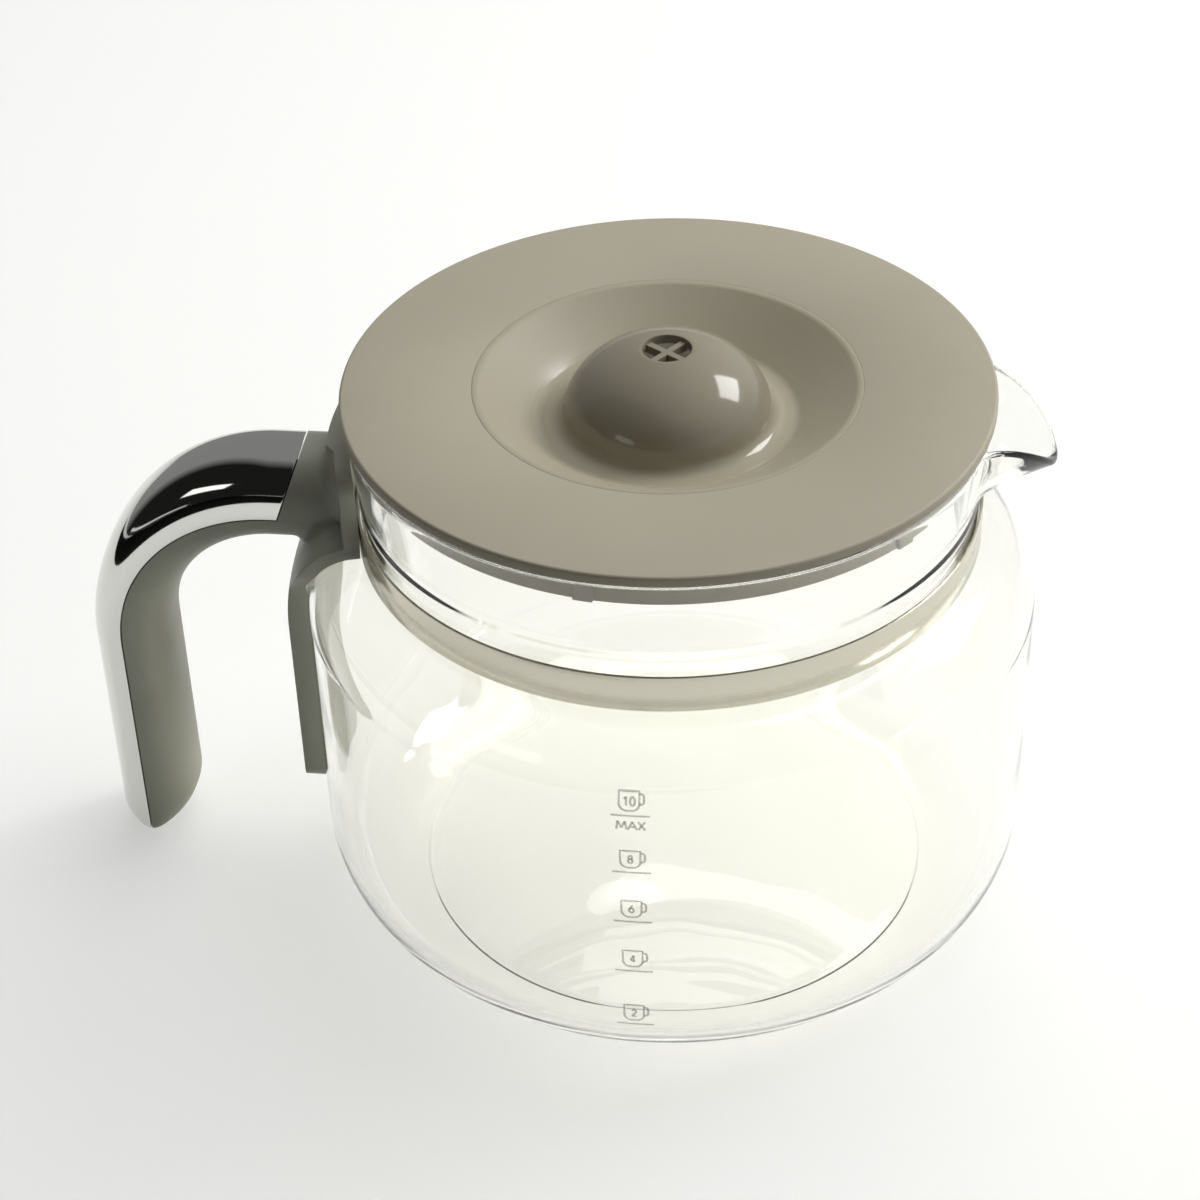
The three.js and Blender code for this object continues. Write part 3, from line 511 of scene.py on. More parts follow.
def shaped_slab(name, across, along, place):
    """A closed wall: a grid with a thickness, whose vertices go where place(u, v, w) says."""
    bpy.ops.object.select_all(action="DESELECT")
    bpy.ops.mesh.primitive_grid_add(x_subdivisions=across, y_subdivisions=along, size=2)
    piece = bpy.context.object
    piece.name = name
    bpy.ops.object.mode_set(mode="EDIT")
    bpy.ops.mesh.select_all(action="SELECT")
    bpy.ops.mesh.extrude_region_move(TRANSFORM_OT_translate={"value": (0, 0, 1)})
    bpy.ops.object.mode_set(mode="OBJECT")
    for vertex in piece.data.vertices:
        u, v, w = (vertex.co.x + 1) / 2, (vertex.co.y + 1) / 2, vertex.co.z
        vertex.co = Vector(place(u, v, w)) * MM
    bpy.ops.object.mode_set(mode="EDIT")
    bpy.ops.mesh.select_all(action="SELECT")
    bpy.ops.mesh.remove_doubles(threshold=0.005 * MM)
    bpy.ops.mesh.dissolve_degenerate(threshold=0.005 * MM)
    bpy.ops.mesh.select_all(action="SELECT")
    bpy.ops.mesh.normals_make_consistent(inside=False)
    bpy.ops.object.mode_set(mode="OBJECT")
    return piece


def beside_jug(height, lift, lean):
    """Radius of a shell that lies off the jug by a lift, from the wall up to the neck."""
    foot = SHOULDER_FOOT - lean
    share = min(max(height - foot, 0) / (SHOULDER_HEIGHT + lift + lean), 1)
    curve = NECK_RADIUS + (SHOULDER_REACH + lift) * math.sqrt(1 - share ** 2)
    return max(curve, SADDLE_INNER + lift - GAP)


def plate_half_width(height):
    """Half width of the saddle and heel strip at a height."""
    if height < STRIP_BOTTOM + STRIP_CORNER:
        rest = STRIP_BOTTOM + STRIP_CORNER - height
        return STRIP_HALF_WIDTH - STRIP_CORNER + math.sqrt(max(STRIP_CORNER ** 2 - rest ** 2, 0))
    drawn = smooth_step(height, ARCH_FOOT, ARCH_TOP)
    half = STRIP_HALF_WIDTH + (ARCH_HALF_WIDTH - STRIP_HALF_WIDTH) * drawn
    spread = min(max((height - ARCH_TOP) / (BAND_BOTTOM + BAND_HEIGHT / 2 - ARCH_TOP), 0), 1)
    half += (SADDLE_HALF_WIDTH - ARCH_HALF_WIDTH) * spread
    rest = max(height - SADDLE_TOP + SADDLE_CORNER, 0)
    return half - SADDLE_CORNER + math.sqrt(max(SADDLE_CORNER ** 2 - rest ** 2, 0))


def plate_radius(across, height):
    """Outer radius of the saddle and heel strip, which run into each other."""
    strip = beside_jug(height, GAP + STRIP_THICKNESS, STRIP_LEAN)
    saddle = beside_jug(height, GAP + SADDLE_THICKNESS, 0)
    share = smooth_step(abs(across), *SADDLE_BLEND_ACROSS)
    share *= smooth_step(height, *SADDLE_BLEND_HEIGHT)
    return strip + (saddle - strip) * share


def plate_place(u, v, w):
    """Point of the saddle and heel strip, w 0 outside and 1 against the jug."""
    height = STRIP_BOTTOM + (SADDLE_TOP - STRIP_BOTTOM) * v
    across = plate_half_width(height) * (2 * u - 1)
    radius = beside_jug(height, GAP, 0) if w else plate_radius(across, height)
    return -math.sqrt(radius ** 2 - across ** 2), across, height


def end_share(to_end, length):
    """What is left of a depth near the grip's end, which closes in a quarter of an ellipse."""
    return math.sqrt(1 - (max(length - to_end, 0) / length) ** 2)


def half_place(side, u, path, wall, stand):
    """Point on one half of the handle. The path is 0 to 1 on the arm from the joint, 1 to 2 in
    the bend, 2 to 3 down the grip, 3 to 4 round its end and 4 to 5 across the end."""
    sign = 1 if side == "cover" else -1
    bend = math.pi / 2 * min(max(path - 1, 0), 1)
    r, z = BEND_R + BEND_RADIUS * math.sin(bend), BEND_Z + BEND_RADIUS * math.cos(bend)
    grip_end = GRIP_BOTTOM + wall
    if path > 2:
        foot = grip_end + END_LENGTH[side]
        z = BEND_Z + (foot - BEND_Z) * min(path - 2, 1)
        z -= END_LENGTH[side] * math.sin(math.pi / 2 * min(max(path - 3, 0), 1))
    to_end = z - grip_end + END_BLUNT
    ease = smooth_step(bend, 0, TAPER_TURN)
    depth = ARM_DEPTH[side] + (GRIP_DEPTH[side] - ARM_DEPTH[side]) * ease
    depth = depth * end_share(to_end, END_LENGTH[side]) - wall - stand
    half = HALF_WIDTH - END_ROUND * (1 - end_share(to_end, END_ROUND)) - wall
    closing = 1 - min(max(path - 4, 0), 1)
    angle = math.pi * u
    power = 2 / ROUNDNESS[side]
    wide = math.copysign(abs(math.cos(angle)) ** power, math.cos(angle))
    tall = max(math.sin(angle), 0) ** power
    lift = sign * (stand + depth * tall * closing)
    return r + lift * math.sin(bend), half * wide * closing, z + lift * math.cos(bend)


PATH_ROWS = 150
ARM_SHARE, BEND_SHARE, GRIP_SHARE, ROUND_SHARE = 0.14, 0.58, 0.74, 0.94


def path_at(v):
    """Place along the handle's path for a share of the rows, with most rows in the bend."""
    stops = (0, ARM_SHARE, BEND_SHARE, GRIP_SHARE, ROUND_SHARE, 1)
    for i in range(5):
        if v <= stops[i + 1]:
            return i + (v - stops[i]) / (stops[i + 1] - stops[i])
    return 5


def root_row(side, u, v, wall):
    """Point on the collar: a fillet that rises off the saddle, then the straight arm."""
    sign = 1 if side == "cover" else -1
    angle = math.pi * u
    power = 2 / ROUNDNESS[side]
    wide = math.copysign(abs(math.cos(angle)) ** power, math.cos(angle))
    tall = max(math.sin(angle), 0) ** power
    turn = math.pi / 2 * min(v / FILLET_ROWS, 1)
    swell = ROOT_FILLET * (1 - math.sin(turn))
    across = (HALF_WIDTH + swell - wall) * wide
    height = ARM_PARTING + sign * (ARM_DEPTH[side] + swell - wall) * tall
    start = math.sqrt(plate_radius(across, height) ** 2 - across ** 2) - ROOT_SINK
    begin = start + (ROOT_FILLET + ROOT_SINK) * (1 - math.cos(turn))
    return begin, across, height, max(v - FILLET_ROWS, 0) / (1 - FILLET_ROWS)


def core_place(u, v, w):
    """Point of the core's lower half, from its root on the saddle to the grip's end."""
    wall = CORE_WALL * w
    if v < ARM_SHARE:
        begin, across, height, share = root_row("core", u, v / ARM_SHARE, wall)
        return -(begin + (BEND_R - begin) * share), across, height
    r, across, height = half_place("core", u, path_at(v), wall, 0)
    return -r, across, height


def collar_place(u, v, w):
    """Point of the collar's upper half, solid, with a slanted end wall against the cover."""
    begin, across, height, share = root_row("cover", u, v, 0)
    across *= 1 - COLLAR_INSET[w]
    if w:
        height = ARM_PARTING - COLLAR_SINK
    joint = JOINT_R - JOINT_SLANT * (height - ARM_PARTING)
    return -(begin + (joint - begin) * share), across, height


def united(piece, others, operation):
    """Joins other pieces to a piece, or cuts them from it."""
    bpy.ops.object.select_all(action="DESELECT")
    bpy.context.view_layer.objects.active = piece
    piece.select_set(True)
    for other in others:
        fuse = piece.modifiers.new("fuse", "BOOLEAN")
        fuse.operation = operation
        fuse.solver = "EXACT"
        fuse.object = other
        bpy.ops.object.modifier_apply(modifier="fuse")
        bpy.data.objects.remove(other)


def cleaned():
    """Takes out the faces that cutting or rounding left on the active piece without any area."""
    bpy.ops.object.mode_set(mode="EDIT")
    bpy.ops.mesh.select_all(action="SELECT")
    bpy.ops.mesh.dissolve_degenerate(threshold=0.003 * MM)
    bpy.ops.mesh.delete_loose()
    bpy.ops.object.mode_set(mode="OBJECT")


def along_screw(radius, low, high):
    """A round bar on the cover screw's axis, which is square to the parting line."""
    bpy.ops.object.select_all(action="DESELECT")
    bpy.ops.mesh.primitive_cylinder_add(vertices=64, radius=radius * MM, depth=(high - low) * MM)
    bar = bpy.context.object
    bend = math.asin((SCREW_R - BEND_R) / BEND_RADIUS)
    middle = Vector((-SCREW_R, 0, BEND_Z + BEND_RADIUS * math.cos(bend))) * MM
    for vertex in bar.data.vertices:
        raised = vertex.co + Vector((0, 0, (low + high) / 2 * MM))
        vertex.co = Matrix.Rotation(-bend, 3, "Y") @ raised + middle
    return bar


core = shaped_slab("handle_moulding", 48, PATH_ROWS, core_place)
plate = shaped_slab("saddle_plate", 44, 150, plate_place)
rounded(plate, PLASTIC_EDGE, 3, 60)
collar = shaped_slab("collar", 48, 40, collar_place)
bpy.ops.object.select_all(action="DESELECT")
bpy.ops.mesh.primitive_cube_add(size=1)
ear_slot = bpy.context.object
slot_low = Vector((-EAR_END - GAP, -EAR_SLOT, BAND_BOTTOM - GAP))
slot_high = Vector((-NECK_RADIUS, EAR_SLOT, BAND_BOTTOM + BAND_HEIGHT + GAP))
for vertex in ear_slot.data.vertices:
    shares = vertex.co + Vector((0.5, 0.5, 0.5))
    vertex.co = [(a + (b - a) * t) * MM for a, b, t in zip(slot_low, slot_high, shares)]
united(core, [plate, collar, along_screw(SCREW_BOSS, -SCREW_BOSS_LENGTH, -GAP)], "UNION")
united(core, [
    ear_slot,
    along_screw(SCREW_HEAD_ROOM, -2 * SCREW_HEAD_SEAT - HEAD_ROOM_SPARE, -SCREW_HEAD_SEAT),
    along_screw(SCREW_SHANK_ROOM, -SCREW_HEAD_SEAT - SHANK_ROOM_SPARE, SCREW_SHANK_TOP),
], "DIFFERENCE")
cleaned()
bpy.ops.object.shade_smooth_by_angle(angle=math.radians(38))

# Moulded grey ABS with a fine spark-eroded grain: satin, warm grey, with a soft wide sheen.
grey_abs, abs_shader = new_material("grained_grey_abs")
abs_shader.inputs["IOR"].default_value = 1.53
abs_place = add_node(grey_abs, "ShaderNodeTexCoord", {}, {})
# The real grain is about 0.1 mm, drawn three times coarser so that it shows.
ABS_GRAIN = 0.3 * MM
ABS_CLOUD = 18 * MM
abs_grain = add_node(grey_abs, "ShaderNodeTexNoise", {"Scale": 1 / ABS_GRAIN, "Detail": 3.0},
                     {"Vector": (abs_place, "Object")})
abs_cloud = add_node(grey_abs, "ShaderNodeTexNoise", {"Scale": 1 / ABS_CLOUD, "Detail": 2.0},
                     {"Vector": (abs_place, "Object")})
abs_tone = two_tones(grey_abs, (abs_cloud, "Fac"), {0.3: "9d9e90", 0.7: "a4a597"})
abs_rough = add_node(grey_abs, "ShaderNodeMapRange", {"To Min": 0.36, "To Max": 0.5},
                     {"Value": (abs_grain, "Fac")})
abs_bump = add_node(grey_abs, "ShaderNodeBump", {"Strength": 0.12, "Distance": 0.05 * MM},
                    {"Height": (abs_grain, "Fac")})
link(grey_abs, abs_tone, "Color", abs_shader, "Base Color")
link(grey_abs, abs_rough, "Result", abs_shader, "Roughness")
link(grey_abs, abs_bump, "Normal", abs_shader, "Normal")
core.data.materials.clear()
core.data.materials.append(grey_abs)
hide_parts("handle_core")
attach(core, "jug")

# Bright cover. A thin ABS shell, chrome plated, that lies over the arm, the bend and the
# outer half of the grip and meets the core in a fine groove. A screw from below holds it.
COVER_WALL = 2
COVER_EDGE = 0.25


def cover_place(u, v, w):
    """Point of the cover, from its slanted end at the collar to the grip's end."""
    wall = COVER_WALL * w
    path = path_at(v)
    r, across, height = half_place("cover", u, max(path, 1), wall, GAP)
    if path < 1:
        joint = JOINT_R + GAP - JOINT_SLANT * (height - ARM_PARTING)
        r = joint + (BEND_R - joint) * path
    return -r, across, height


cover = shaped_slab("bright_cover", 64, PATH_ROWS, cover_place)
rounded(cover, COVER_EDGE, 3, 60)
cleaned()
bpy.ops.object.shade_smooth_by_angle(angle=math.radians(38))

# Bright chrome plate on plastic: a neutral mirror with the faintest haze from handling.
bright_chrome, chrome_shader = new_material("bright_chrome_plate")
chrome_shader.inputs["Base Color"].default_value = linear("d9dad5")
chrome_shader.inputs["Metallic"].default_value = 1.0
chrome_place = add_node(bright_chrome, "ShaderNodeTexCoord", {}, {})
HAZE_PATCH = 9 * MM
chrome_haze = add_node(bright_chrome, "ShaderNodeTexNoise",
                       {"Scale": 1 / HAZE_PATCH, "Detail": 4.0},
                       {"Vector": (chrome_place, "Object")})
chrome_rough = add_node(bright_chrome, "ShaderNodeMapRange", {"To Min": 0.03, "To Max": 0.08},
                        {"Value": (chrome_haze, "Fac")})
link(bright_chrome, chrome_rough, "Result", chrome_shader, "Roughness")
cover.data.materials.append(bright_chrome)
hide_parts("chrome_cover")
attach(cover, "jug")

# Cover screw. A zinc-plated self-tapping screw under the arm, sunk in its own recess.
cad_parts["cover_screw"].material_slots[0].material = zinc_plate

# Lid cap. One flat disc of greige polypropylene with a rounded rim, a push-in skirt and six
# small lugs that grip inside the neck, and a ledge round the middle for the drip dome.
LID_RADIUS = 67
LID_TOP = 125.2
LID_UNDER = 122.9
LID_EDGE = 0.7
LID_UNDER_EDGE = 0.3
SEAM_EDGE = 0.06
SKIRT_OUTER = 62.58
SKIRT_WALL = 2
SKIRT_FILLET = 0.6
SKIRT_EDGE = 0.5
SKIRT_BOTTOM = 116.3
DISH_RADIUS = 40
LEDGE_INNER = 37.5
LEDGE_OUTER = 41.5
LEDGE_TOP = 122.4
LEDGE_BOTTOM = 120.9
LUG_COUNT = 6
LUG_TURN = math.radians(21)
LUG_SIZE = (1.6, 4, 4)
LUG_EDGE = 0.35
LUG_SINK = 0.2


def turned_block(size, middle, angle):
    """A block of a size about a middle, turned round the jug's axis."""
    bpy.ops.object.select_all(action="DESELECT")
    bpy.ops.mesh.primitive_cube_add(size=1)
    block = bpy.context.object
    turn = Matrix.Rotation(angle, 4, "Z")
    for vertex in block.data.vertices:
        corner = Vector([a * b for a, b in zip(vertex.co, size)])
        vertex.co = turn @ (Vector(middle) + corner) * MM
    return block


cap = turned("lid_disc", [
    (DISH_RADIUS, LEDGE_TOP),
    *arc(DISH_RADIUS + SEAM_EDGE, LID_TOP - SEAM_EDGE, SEAM_EDGE, SEAM_EDGE, 180, 90, 2),
    *arc(LID_RADIUS - LID_EDGE, LID_TOP - LID_EDGE, LID_EDGE, LID_EDGE, 90, 0, 8),
    *arc(LID_RADIUS - LID_UNDER_EDGE, LID_UNDER + LID_UNDER_EDGE,
         LID_UNDER_EDGE, LID_UNDER_EDGE, 0, -90, 4),
    (SKIRT_OUTER + SKIRT_FILLET, LID_UNDER),
    *arc(SKIRT_OUTER + SKIRT_FILLET, LID_UNDER - SKIRT_FILLET,
         SKIRT_FILLET, SKIRT_FILLET, 90, 180, 5)[1:],
    *arc(SKIRT_OUTER - SKIRT_EDGE, SKIRT_BOTTOM + SKIRT_EDGE,
         SKIRT_EDGE, SKIRT_EDGE, 0, -90, 5),
    *arc(SKIRT_OUTER - SKIRT_WALL + SKIRT_EDGE, SKIRT_BOTTOM + SKIRT_EDGE,
         SKIRT_EDGE, SKIRT_EDGE, -90, -180, 5),
    (SKIRT_OUTER - SKIRT_WALL, LID_UNDER),
    (LEDGE_OUTER, LID_UNDER),
    (LEDGE_OUTER, LEDGE_BOTTOM),
    (LEDGE_INNER, LEDGE_BOTTOM),
    (LEDGE_INNER, LEDGE_TOP),
], 320)
lugs = []
lug_middle = (SKIRT_OUTER - LUG_SINK, 0, SKIRT_BOTTOM + LUG_SIZE[2] / 2)
for i in range(LUG_COUNT):
    lug = turned_block(LUG_SIZE, lug_middle, LUG_TURN + 2 * math.pi * i / LUG_COUNT)
    rounded(lug, LUG_EDGE, 3, 30)
    lugs.append(lug)
united(cap, lugs, "UNION")
bpy.ops.object.shade_smooth_by_angle(angle=math.radians(35))

# Moulded polypropylene with an even satin grain: greige, flat in the light, a dull sheen.
satin_pp, satin_shader = new_material("satin_greige_polypropylene")
satin_shader.inputs["IOR"].default_value = 1.49
satin_place = add_node(satin_pp, "ShaderNodeTexCoord", {}, {})
# The real grain is under 0.1 mm, drawn at 0.35 mm so that it shows.
SATIN_GRAIN = 0.35 * MM
SATIN_FLOW = 30 * MM
satin_grain = add_node(satin_pp, "ShaderNodeTexNoise", {"Scale": 1 / SATIN_GRAIN, "Detail": 3.0},
                       {"Vector": (satin_place, "Object")})
satin_flow = add_node(satin_pp, "ShaderNodeTexNoise", {"Scale": 1 / SATIN_FLOW, "Detail": 2.0},
                      {"Vector": (satin_place, "Object")})
satin_tone = two_tones(satin_pp, (satin_flow, "Fac"), {0.3: "a8a18f", 0.7: "aca593"})
satin_rough = add_node(satin_pp, "ShaderNodeMapRange", {"To Min": 0.5, "To Max": 0.64},
                       {"Value": (satin_grain, "Fac")})
satin_bump = add_node(satin_pp, "ShaderNodeBump", {"Strength": 0.1, "Distance": 0.04 * MM},
                      {"Height": (satin_grain, "Fac")})
link(satin_pp, satin_tone, "Color", satin_shader, "Base Color")
link(satin_pp, satin_rough, "Result", satin_shader, "Roughness")
link(satin_pp, satin_bump, "Normal", satin_shader, "Normal")
cap.data.materials.clear()
cap.data.materials.append(satin_pp)
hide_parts("lid_cap")
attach(cap, "lid")

# Drip dome. A second moulding of the same greige, polished in its tool: a sloping dish with
# a hollow dome in the middle, whose vent has a sunk cross. It is pressed into the lid.
DISH_RIM = 39.97
DISH_FLOOR = 117.2
DISH_WALL = 2
DISH_LEAN = math.radians(33)
ROLL_RADIUS = 2.5
FLOOR_RADIUS = 3
RIM_DEPTH = 2.5
RIM_FLAT = 0.3
UNDER_SHARE = 0.8
DOME_RADIUS = 21.8
DOME_HEIGHT = 16.4
DOME_FILLET = 3.2
VENT_RADIUS = 5
VENT_EDGE = 0.35
VENT_STEP = (0.1, 0.12)
CROSS_TURN = math.radians(-36)
CROSS_BAR = (11, 1.4, 1.8)
CROSS_RECESS = 1.0
# Radii over which the painted shade on the dome fades out, from its middle to its foot.
DOME_SHADE_END = (20 * MM, 23.5 * MM)
POLISH_END = (26 * MM, 31 * MM)

foot_lean = 0
for i in range(8):
    dome_foot = math.asin(DOME_FILLET * (1 - math.sin(foot_lean)) / DOME_HEIGHT)
    foot_lean = math.atan2(DOME_RADIUS * math.sin(dome_foot), DOME_HEIGHT * math.cos(dome_foot))
fillet_r = DOME_RADIUS * math.cos(dome_foot) + DOME_FILLET * math.cos(foot_lean)
bends = ROLL_RADIUS + FLOOR_RADIUS
slope_length = (LID_TOP - DISH_FLOOR - bends * (1 - math.cos(DISH_LEAN))) / math.sin(DISH_LEAN)
roll_r = DISH_RIM - RIM_FLAT
floor_r = roll_r - bends * math.sin(DISH_LEAN) - slope_length * math.cos(DISH_LEAN)
inner_radius, inner_height = DOME_RADIUS - DISH_WALL, DOME_HEIGHT - DISH_WALL
vent_top = DISH_FLOOR + DOME_HEIGHT * math.sqrt(1 - (VENT_RADIUS / DOME_RADIUS) ** 2)
under_slope = math.tan(DISH_LEAN)
step_r = LEDGE_INNER - GAP
lean_degrees = math.degrees(DISH_LEAN)
dome = turned("drip_dish", [
    *arc(DISH_RIM - SEAM_EDGE, LID_TOP - SEAM_EDGE, SEAM_EDGE, SEAM_EDGE, 0, 90, 2),
    *arc(roll_r, LID_TOP - ROLL_RADIUS, ROLL_RADIUS, ROLL_RADIUS, 90, 90 + lean_degrees, 10),
    *arc(floor_r, DISH_FLOOR + FLOOR_RADIUS, FLOOR_RADIUS, FLOOR_RADIUS,
         -90 + lean_degrees, -90, 10),
    *arc(fillet_r, DISH_FLOOR + DOME_FILLET, DOME_FILLET, DOME_FILLET, 270,
         180 + math.degrees(foot_lean), 12),
    *arc(0, DISH_FLOOR, DOME_RADIUS, DOME_HEIGHT, math.degrees(dome_foot),
         math.degrees(math.acos((VENT_RADIUS + VENT_EDGE) / DOME_RADIUS)), 40)[1:],
    (VENT_RADIUS + VENT_STEP[0], vent_top - VENT_STEP[1]),
    (VENT_RADIUS, vent_top - VENT_EDGE),
    *arc(0, DISH_FLOOR, inner_radius, inner_height,
         math.degrees(math.acos(VENT_RADIUS / inner_radius)),
         -math.degrees(math.asin(DISH_WALL / inner_height)), 24),
    (floor_r, DISH_FLOOR - DISH_WALL),
    (step_r, DISH_FLOOR - DISH_WALL + under_slope * (step_r - floor_r) * UNDER_SHARE),
    (step_r, LID_TOP - RIM_DEPTH),
    (DISH_RIM, LID_TOP - RIM_DEPTH),
], 256)
cross_middle = (0, 0, vent_top - CROSS_RECESS - CROSS_BAR[2] / 2)
united(dome, [turned_block(CROSS_BAR, cross_middle, CROSS_TURN + quarter)
              for quarter in (0, math.pi / 2)], "UNION")
bpy.ops.object.shade_smooth_by_angle(angle=math.radians(35))

# Tool-polished polypropylene: the same greige, glossy, with slow ripples from the moulding, and
# painted shade that darkens the dome.
gloss_pp, gloss_shader = new_material("polished_greige_polypropylene")
gloss_shader.inputs["IOR"].default_value = 1.49
gloss_place = add_node(gloss_pp, "ShaderNodeTexCoord", {}, {})
GLOSS_FLOW = 14 * MM
gloss_flow = add_node(gloss_pp, "ShaderNodeTexNoise", {"Scale": 1 / GLOSS_FLOW, "Detail": 2.0},
                      {"Vector": (gloss_place, "Object")})
# The polish ends round the foot of the dome: the dome is glossy and darkened with painted shade,
# the slope satin and paler like the lid.
gloss_flat = add_node(gloss_pp, "ShaderNodeMapping", {"Scale": (1, 1, 0)},
                      {"Vector": (gloss_place, "Object")})
gloss_reach = add_node(gloss_pp, "ShaderNodeVectorMath", {"operation": "LENGTH"}, {})
link(gloss_pp, gloss_flat, "Vector", gloss_reach, 0)
gloss_rough = add_node(gloss_pp, "ShaderNodeMapRange",
                       {"From Min": POLISH_END[0], "From Max": POLISH_END[1],
                        "To Min": 0.1, "To Max": 0.5},
                       {"Value": (gloss_reach, "Value")})
# Painted shade: the colour is darkest inside 20 mm and pales out to the dome's foot.
dome_shade_ramp = add_node(gloss_pp, "ShaderNodeMapRange",
                      {"From Min": DOME_SHADE_END[0], "From Max": DOME_SHADE_END[1],
                       "To Min": 0.0, "To Max": 0.8},
                      {"Value": (gloss_reach, "Value")})
ripple_and_shade = add_node(gloss_pp, "ShaderNodeMath", {"operation": "MULTIPLY_ADD"}, {})
link(gloss_pp, gloss_flow, "Fac", ripple_and_shade, 0)
ripple_and_shade.inputs[1].default_value = 0.2
link(gloss_pp, dome_shade_ramp, "Result", ripple_and_shade, 2)
gloss_tone = two_tones(gloss_pp, (ripple_and_shade, "Value"), {0.0: "8c8574", 1.0: "a8a18d"})
link(gloss_pp, gloss_tone, "Color", gloss_shader, "Base Color")
link(gloss_pp, gloss_rough, "Result", gloss_shader, "Roughness")
dome.data.materials.clear()
dome.data.materials.append(gloss_pp)
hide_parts("drip_dome")
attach(dome, "lid")

# Floor. A pale studio table under the carafe. It shows white to the camera and in the
# glass and metal, and still takes the carafe's soft shadow.
FLOOR_SIZE = 6
FLOOR_GLOW = 0.5


def seen_share(material):
    """1 for what the camera sees, also in metal and through glass, and 0 for the rest. Matt
    pieces behind the glass count with the rest, so that they take no light from the white."""
    path = add_node(material, "ShaderNodeLightPath", {}, {})
    seen = add_node(material, "ShaderNodeMath", {"operation": "MAXIMUM"}, {})
    link(material, path, "Is Camera Ray", seen, 0)
    link(material, path, "Is Glossy Ray", seen, 1)
    through = add_node(material, "ShaderNodeMath", {"operation": "MAXIMUM"}, {})
    link(material, seen, "Value", through, 0)
    link(material, path, "Is Transmission Ray", through, 1)
    direct = add_node(material, "ShaderNodeMath", {"operation": "LESS_THAN"}, {})
    link(material, path, "Diffuse Depth", direct, 0)
    direct.inputs[1].default_value = 0.5
    share = add_node(material, "ShaderNodeMath", {"operation": "MULTIPLY"}, {})
    link(material, through, "Value", share, 0)
    link(material, direct, "Value", share, 1)
    return share


bpy.ops.object.select_all(action="DESELECT")
bpy.ops.mesh.primitive_plane_add(size=FLOOR_SIZE)
floor = bpy.context.object
floor.name = "studio_floor"
white_table, table_shader = new_material("white_table")
table_shader.inputs["Base Color"].default_value = linear("c4c4c0")
table_shader.inputs["Roughness"].default_value = 0.9
table_shader.inputs["Specular IOR Level"].default_value = 0.0
table_shader.inputs["Emission Color"].default_value = (1, 1, 1, 1)
table_glow = add_node(white_table, "ShaderNodeMapRange", {"To Min": 0.0, "To Max": FLOOR_GLOW},
                      {"Value": (seen_share(white_table), "Value")})
link(white_table, table_glow, "Result", table_shader, "Emission Strength")
floor.data.materials.append(white_table)

# Light. A white background for the camera and for what is seen through the glass, a large
# window to the right, a soft lamp overhead, a bright patch and a low strip at the far left, a
# low fill from the right for the grip, and a grey room, dark in front and to the left, that the
# metal and the glossy plastic mirror.
SKY_LIGHT = 0.45
LAMP_TARGET = (0, 0, 0.12)
UNMIRRORED_LAMPS = ("overhead_lamp", "low_fill")
ROOM_RADIUS = 2.5
DARK_WALL_WAY = (-0.68, -0.68, 0.28)
LIGHT_WALL_WAY = (0.93, 0.3, 0.2)

world = bpy.data.worlds.new("white_background")
bpy.context.scene.world = world
world.use_nodes = True
tent = world.node_tree.nodes["Background"]
tent.inputs["Color"].default_value = (1, 1, 1, 1)
tent_level = add_node(world, "ShaderNodeMapRange", {"To Min": SKY_LIGHT, "To Max": 1.0},
                      {"Value": (seen_share(world), "Value")})
link(world, tent_level, "Result", tent, "Strength")

for lamp_name, place, size, watts in (
        ("window_lamp", (0.675, 0.406, 0.736), (0.42, 0.36), 5.0),
        ("overhead_lamp", (0.15, 0.45, 1.15), (0.9, 0.9), 7.9),
        ("far_patch", (-0.76, -0.86, 0.46), (0.42, 0.16), 0.3),
        ("far_strip", (-0.95, -0.55, 0.1), (0.9, 0.03), 0.06),
        ("low_fill", (1.6, -0.25, 0.08), (0.6, 0.1), 4.0),
):
    bpy.ops.object.select_all(action="DESELECT")
    bpy.ops.object.light_add(type="AREA", location=place)
    lamp = bpy.context.object
    lamp.name = lamp_name
    lamp.data.shape = "RECTANGLE"
    lamp.data.size, lamp.data.size_y = size
    lamp.data.energy = watts
    lamp_way = Vector(LAMP_TARGET) - Vector(place)
    lamp.rotation_euler = lamp_way.to_track_quat("-Z", "Y").to_euler()
    lamp.visible_glossy = lamp_name not in UNMIRRORED_LAMPS

bpy.ops.object.select_all(action="DESELECT")
bpy.ops.mesh.primitive_uv_sphere_add(segments=64, ring_count=32, radius=ROOM_RADIUS)
room = bpy.context.object
room.name = "grey_room"
bpy.ops.object.mode_set(mode="EDIT")
bpy.ops.mesh.select_all(action="DESELECT")
bpy.ops.object.mode_set(mode="OBJECT")
for face in room.data.polygons:
    face.select = face.center.z < 0
bpy.ops.object.mode_set(mode="EDIT")
bpy.ops.mesh.delete(type="FACE")
bpy.ops.mesh.select_all(action="SELECT")
bpy.ops.mesh.flip_normals()
bpy.ops.object.mode_set(mode="OBJECT")
room.visible_camera = False
room.visible_transmission = False
room.visible_shadow = False
grey_walls = bpy.data.materials.new("grey_walls")
grey_walls.use_nodes = True
wall_output = grey_walls.node_tree.nodes["Material Output"]
grey_walls.node_tree.nodes.remove(grey_walls.node_tree.nodes["Principled BSDF"])
wall_place = add_node(grey_walls, "ShaderNodeTexCoord", {}, {})
wall_way = add_node(grey_walls, "ShaderNodeVectorMath", {"operation": "NORMALIZE"}, {})
link(grey_walls, wall_place, "Object", wall_way, 0)
wall_front = add_node(grey_walls, "ShaderNodeVectorMath", {"operation": "DOT_PRODUCT"}, {})
wall_front.inputs[1].default_value = DARK_WALL_WAY
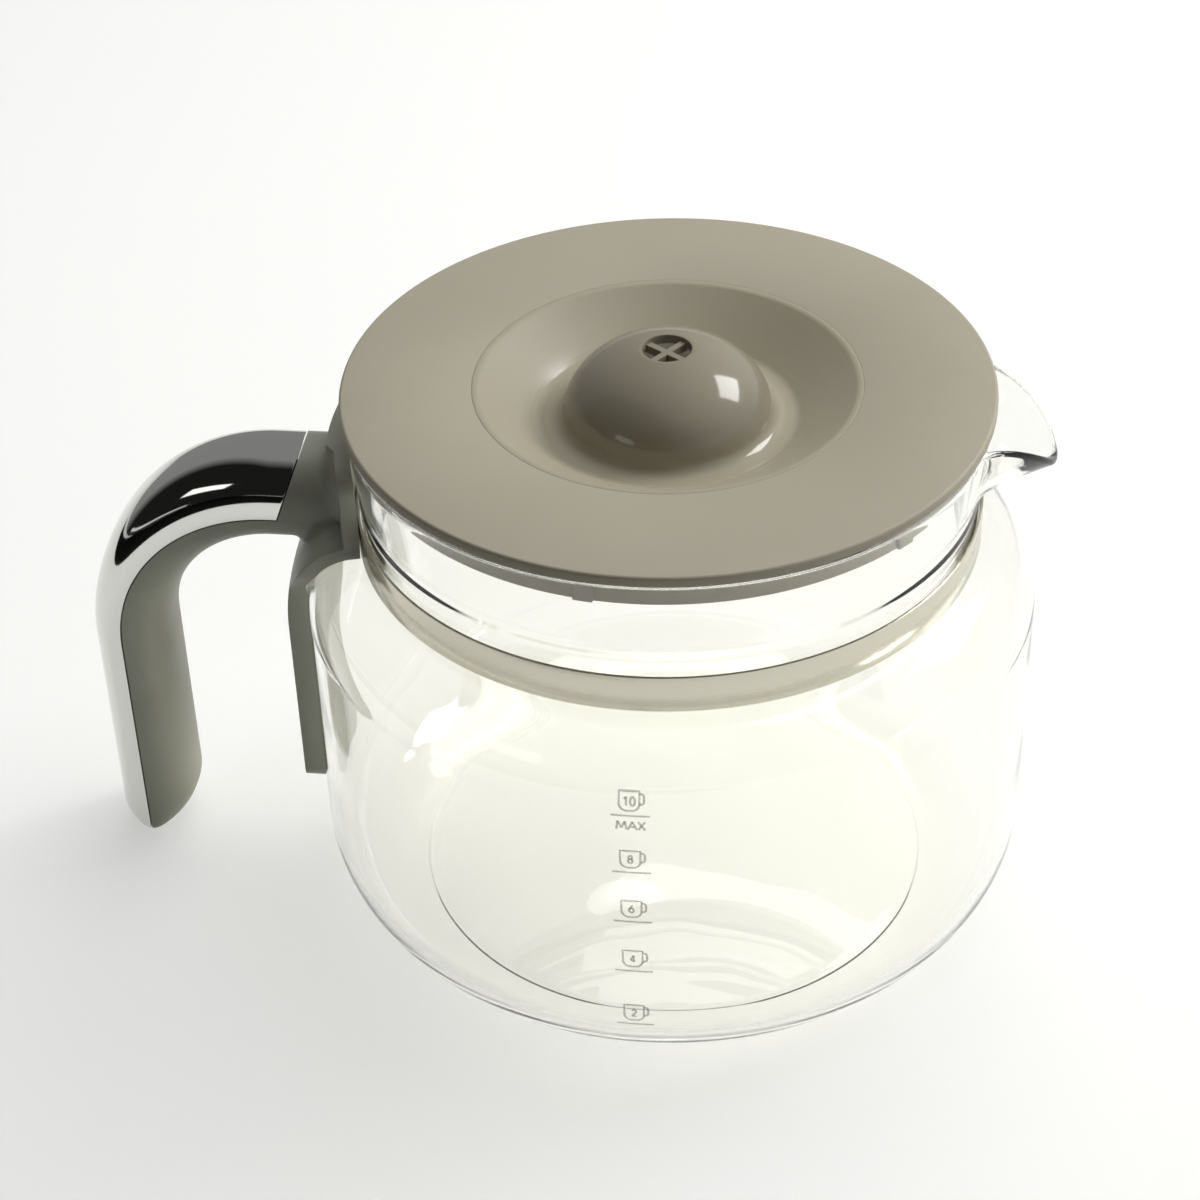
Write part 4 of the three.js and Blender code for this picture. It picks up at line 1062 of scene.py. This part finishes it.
link(grey_walls, wall_way, "Vector", wall_front, 0)
wall_right = add_node(grey_walls, "ShaderNodeVectorMath", {"operation": "DOT_PRODUCT"}, {})
wall_right.inputs[1].default_value = LIGHT_WALL_WAY
link(grey_walls, wall_way, "Vector", wall_right, 0)
wall_dark = add_node(grey_walls, "ShaderNodeMapRange",
                     {"From Min": 0.45, "From Max": 0.7, "To Min": 0.27, "To Max": 0.012},
                     {"Value": (wall_front, "Value")})
wall_light = add_node(grey_walls, "ShaderNodeMapRange",
                      {"From Min": 0.3, "From Max": 0.9, "To Min": 0.0, "To Max": 0.5},
                      {"Value": (wall_right, "Value")})
wall_level = add_node(grey_walls, "ShaderNodeMath", {"operation": "ADD"}, {})
link(grey_walls, wall_dark, "Result", wall_level, 0)
link(grey_walls, wall_light, "Result", wall_level, 1)
wall_path = add_node(grey_walls, "ShaderNodeLightPath", {}, {})
wall_share = add_node(grey_walls, "ShaderNodeMapRange", {"To Min": 0.5, "To Max": 1.0},
                      {"Value": (wall_path, "Is Glossy Ray")})
wall_strength = add_node(grey_walls, "ShaderNodeMath", {"operation": "MULTIPLY"}, {})
link(grey_walls, wall_level, "Value", wall_strength, 0)
link(grey_walls, wall_share, "Result", wall_strength, 1)
wall_glow = add_node(grey_walls, "ShaderNodeEmission", {"Color": (1, 1, 1, 1)},
                     {"Strength": (wall_strength, "Value")})
link(grey_walls, wall_glow, "Emission", wall_output, "Surface")
room.data.materials.append(grey_walls)

# Black card. It lies flat in front and to the left, where only the mirroring metal sees it,
# and ends the white table there.
CARD_SIZE = 2
CARD_PLACE = (-0.97, -0.97, 0.001)
CARD_TURN = (0, 0, math.radians(45))
bpy.ops.object.select_all(action="DESELECT")
bpy.ops.mesh.primitive_plane_add(size=CARD_SIZE, location=CARD_PLACE, rotation=CARD_TURN)
card = bpy.context.object
card.name = "black_card"
card.visible_camera = False
card.visible_diffuse = False
card.visible_transmission = False
card.visible_shadow = False
black_felt, felt_shader = new_material("black_felt")
felt_shader.inputs["Base Color"].default_value = linear("1c1c1c")
felt_shader.inputs["Roughness"].default_value = 0.9
felt_shader.inputs["Specular IOR Level"].default_value = 0.0
card.data.materials.append(black_felt)

# Camera. It looks down on the carafe from the front, a little to the right, with the long
# lens that the photograph was taken with.
CAMERA_PLACE = (0.050379, -0.479325, 0.436853)
CAMERA_PAN = math.radians(7.8006)
CAMERA_DIP = math.radians(37.3167)
CAMERA_ROLL = math.radians(-1.8248)
CAMERA_LENS = 84.233
SENSOR_WIDTH = 36
bpy.ops.object.camera_add(location=CAMERA_PLACE)
camera = bpy.context.object
camera.name = "photo_camera"
camera.data.sensor_width = SENSOR_WIDTH
camera.data.lens = CAMERA_LENS
camera_turn = (Matrix.Rotation(CAMERA_PAN, 3, "Z")
               @ Matrix.Rotation(math.pi / 2 - CAMERA_DIP, 3, "X")
               @ Matrix.Rotation(CAMERA_ROLL, 3, "Z"))
camera.rotation_euler = camera_turn.to_euler()
bpy.context.scene.camera = camera
bpy.context.scene.view_settings.view_transform = "Standard"
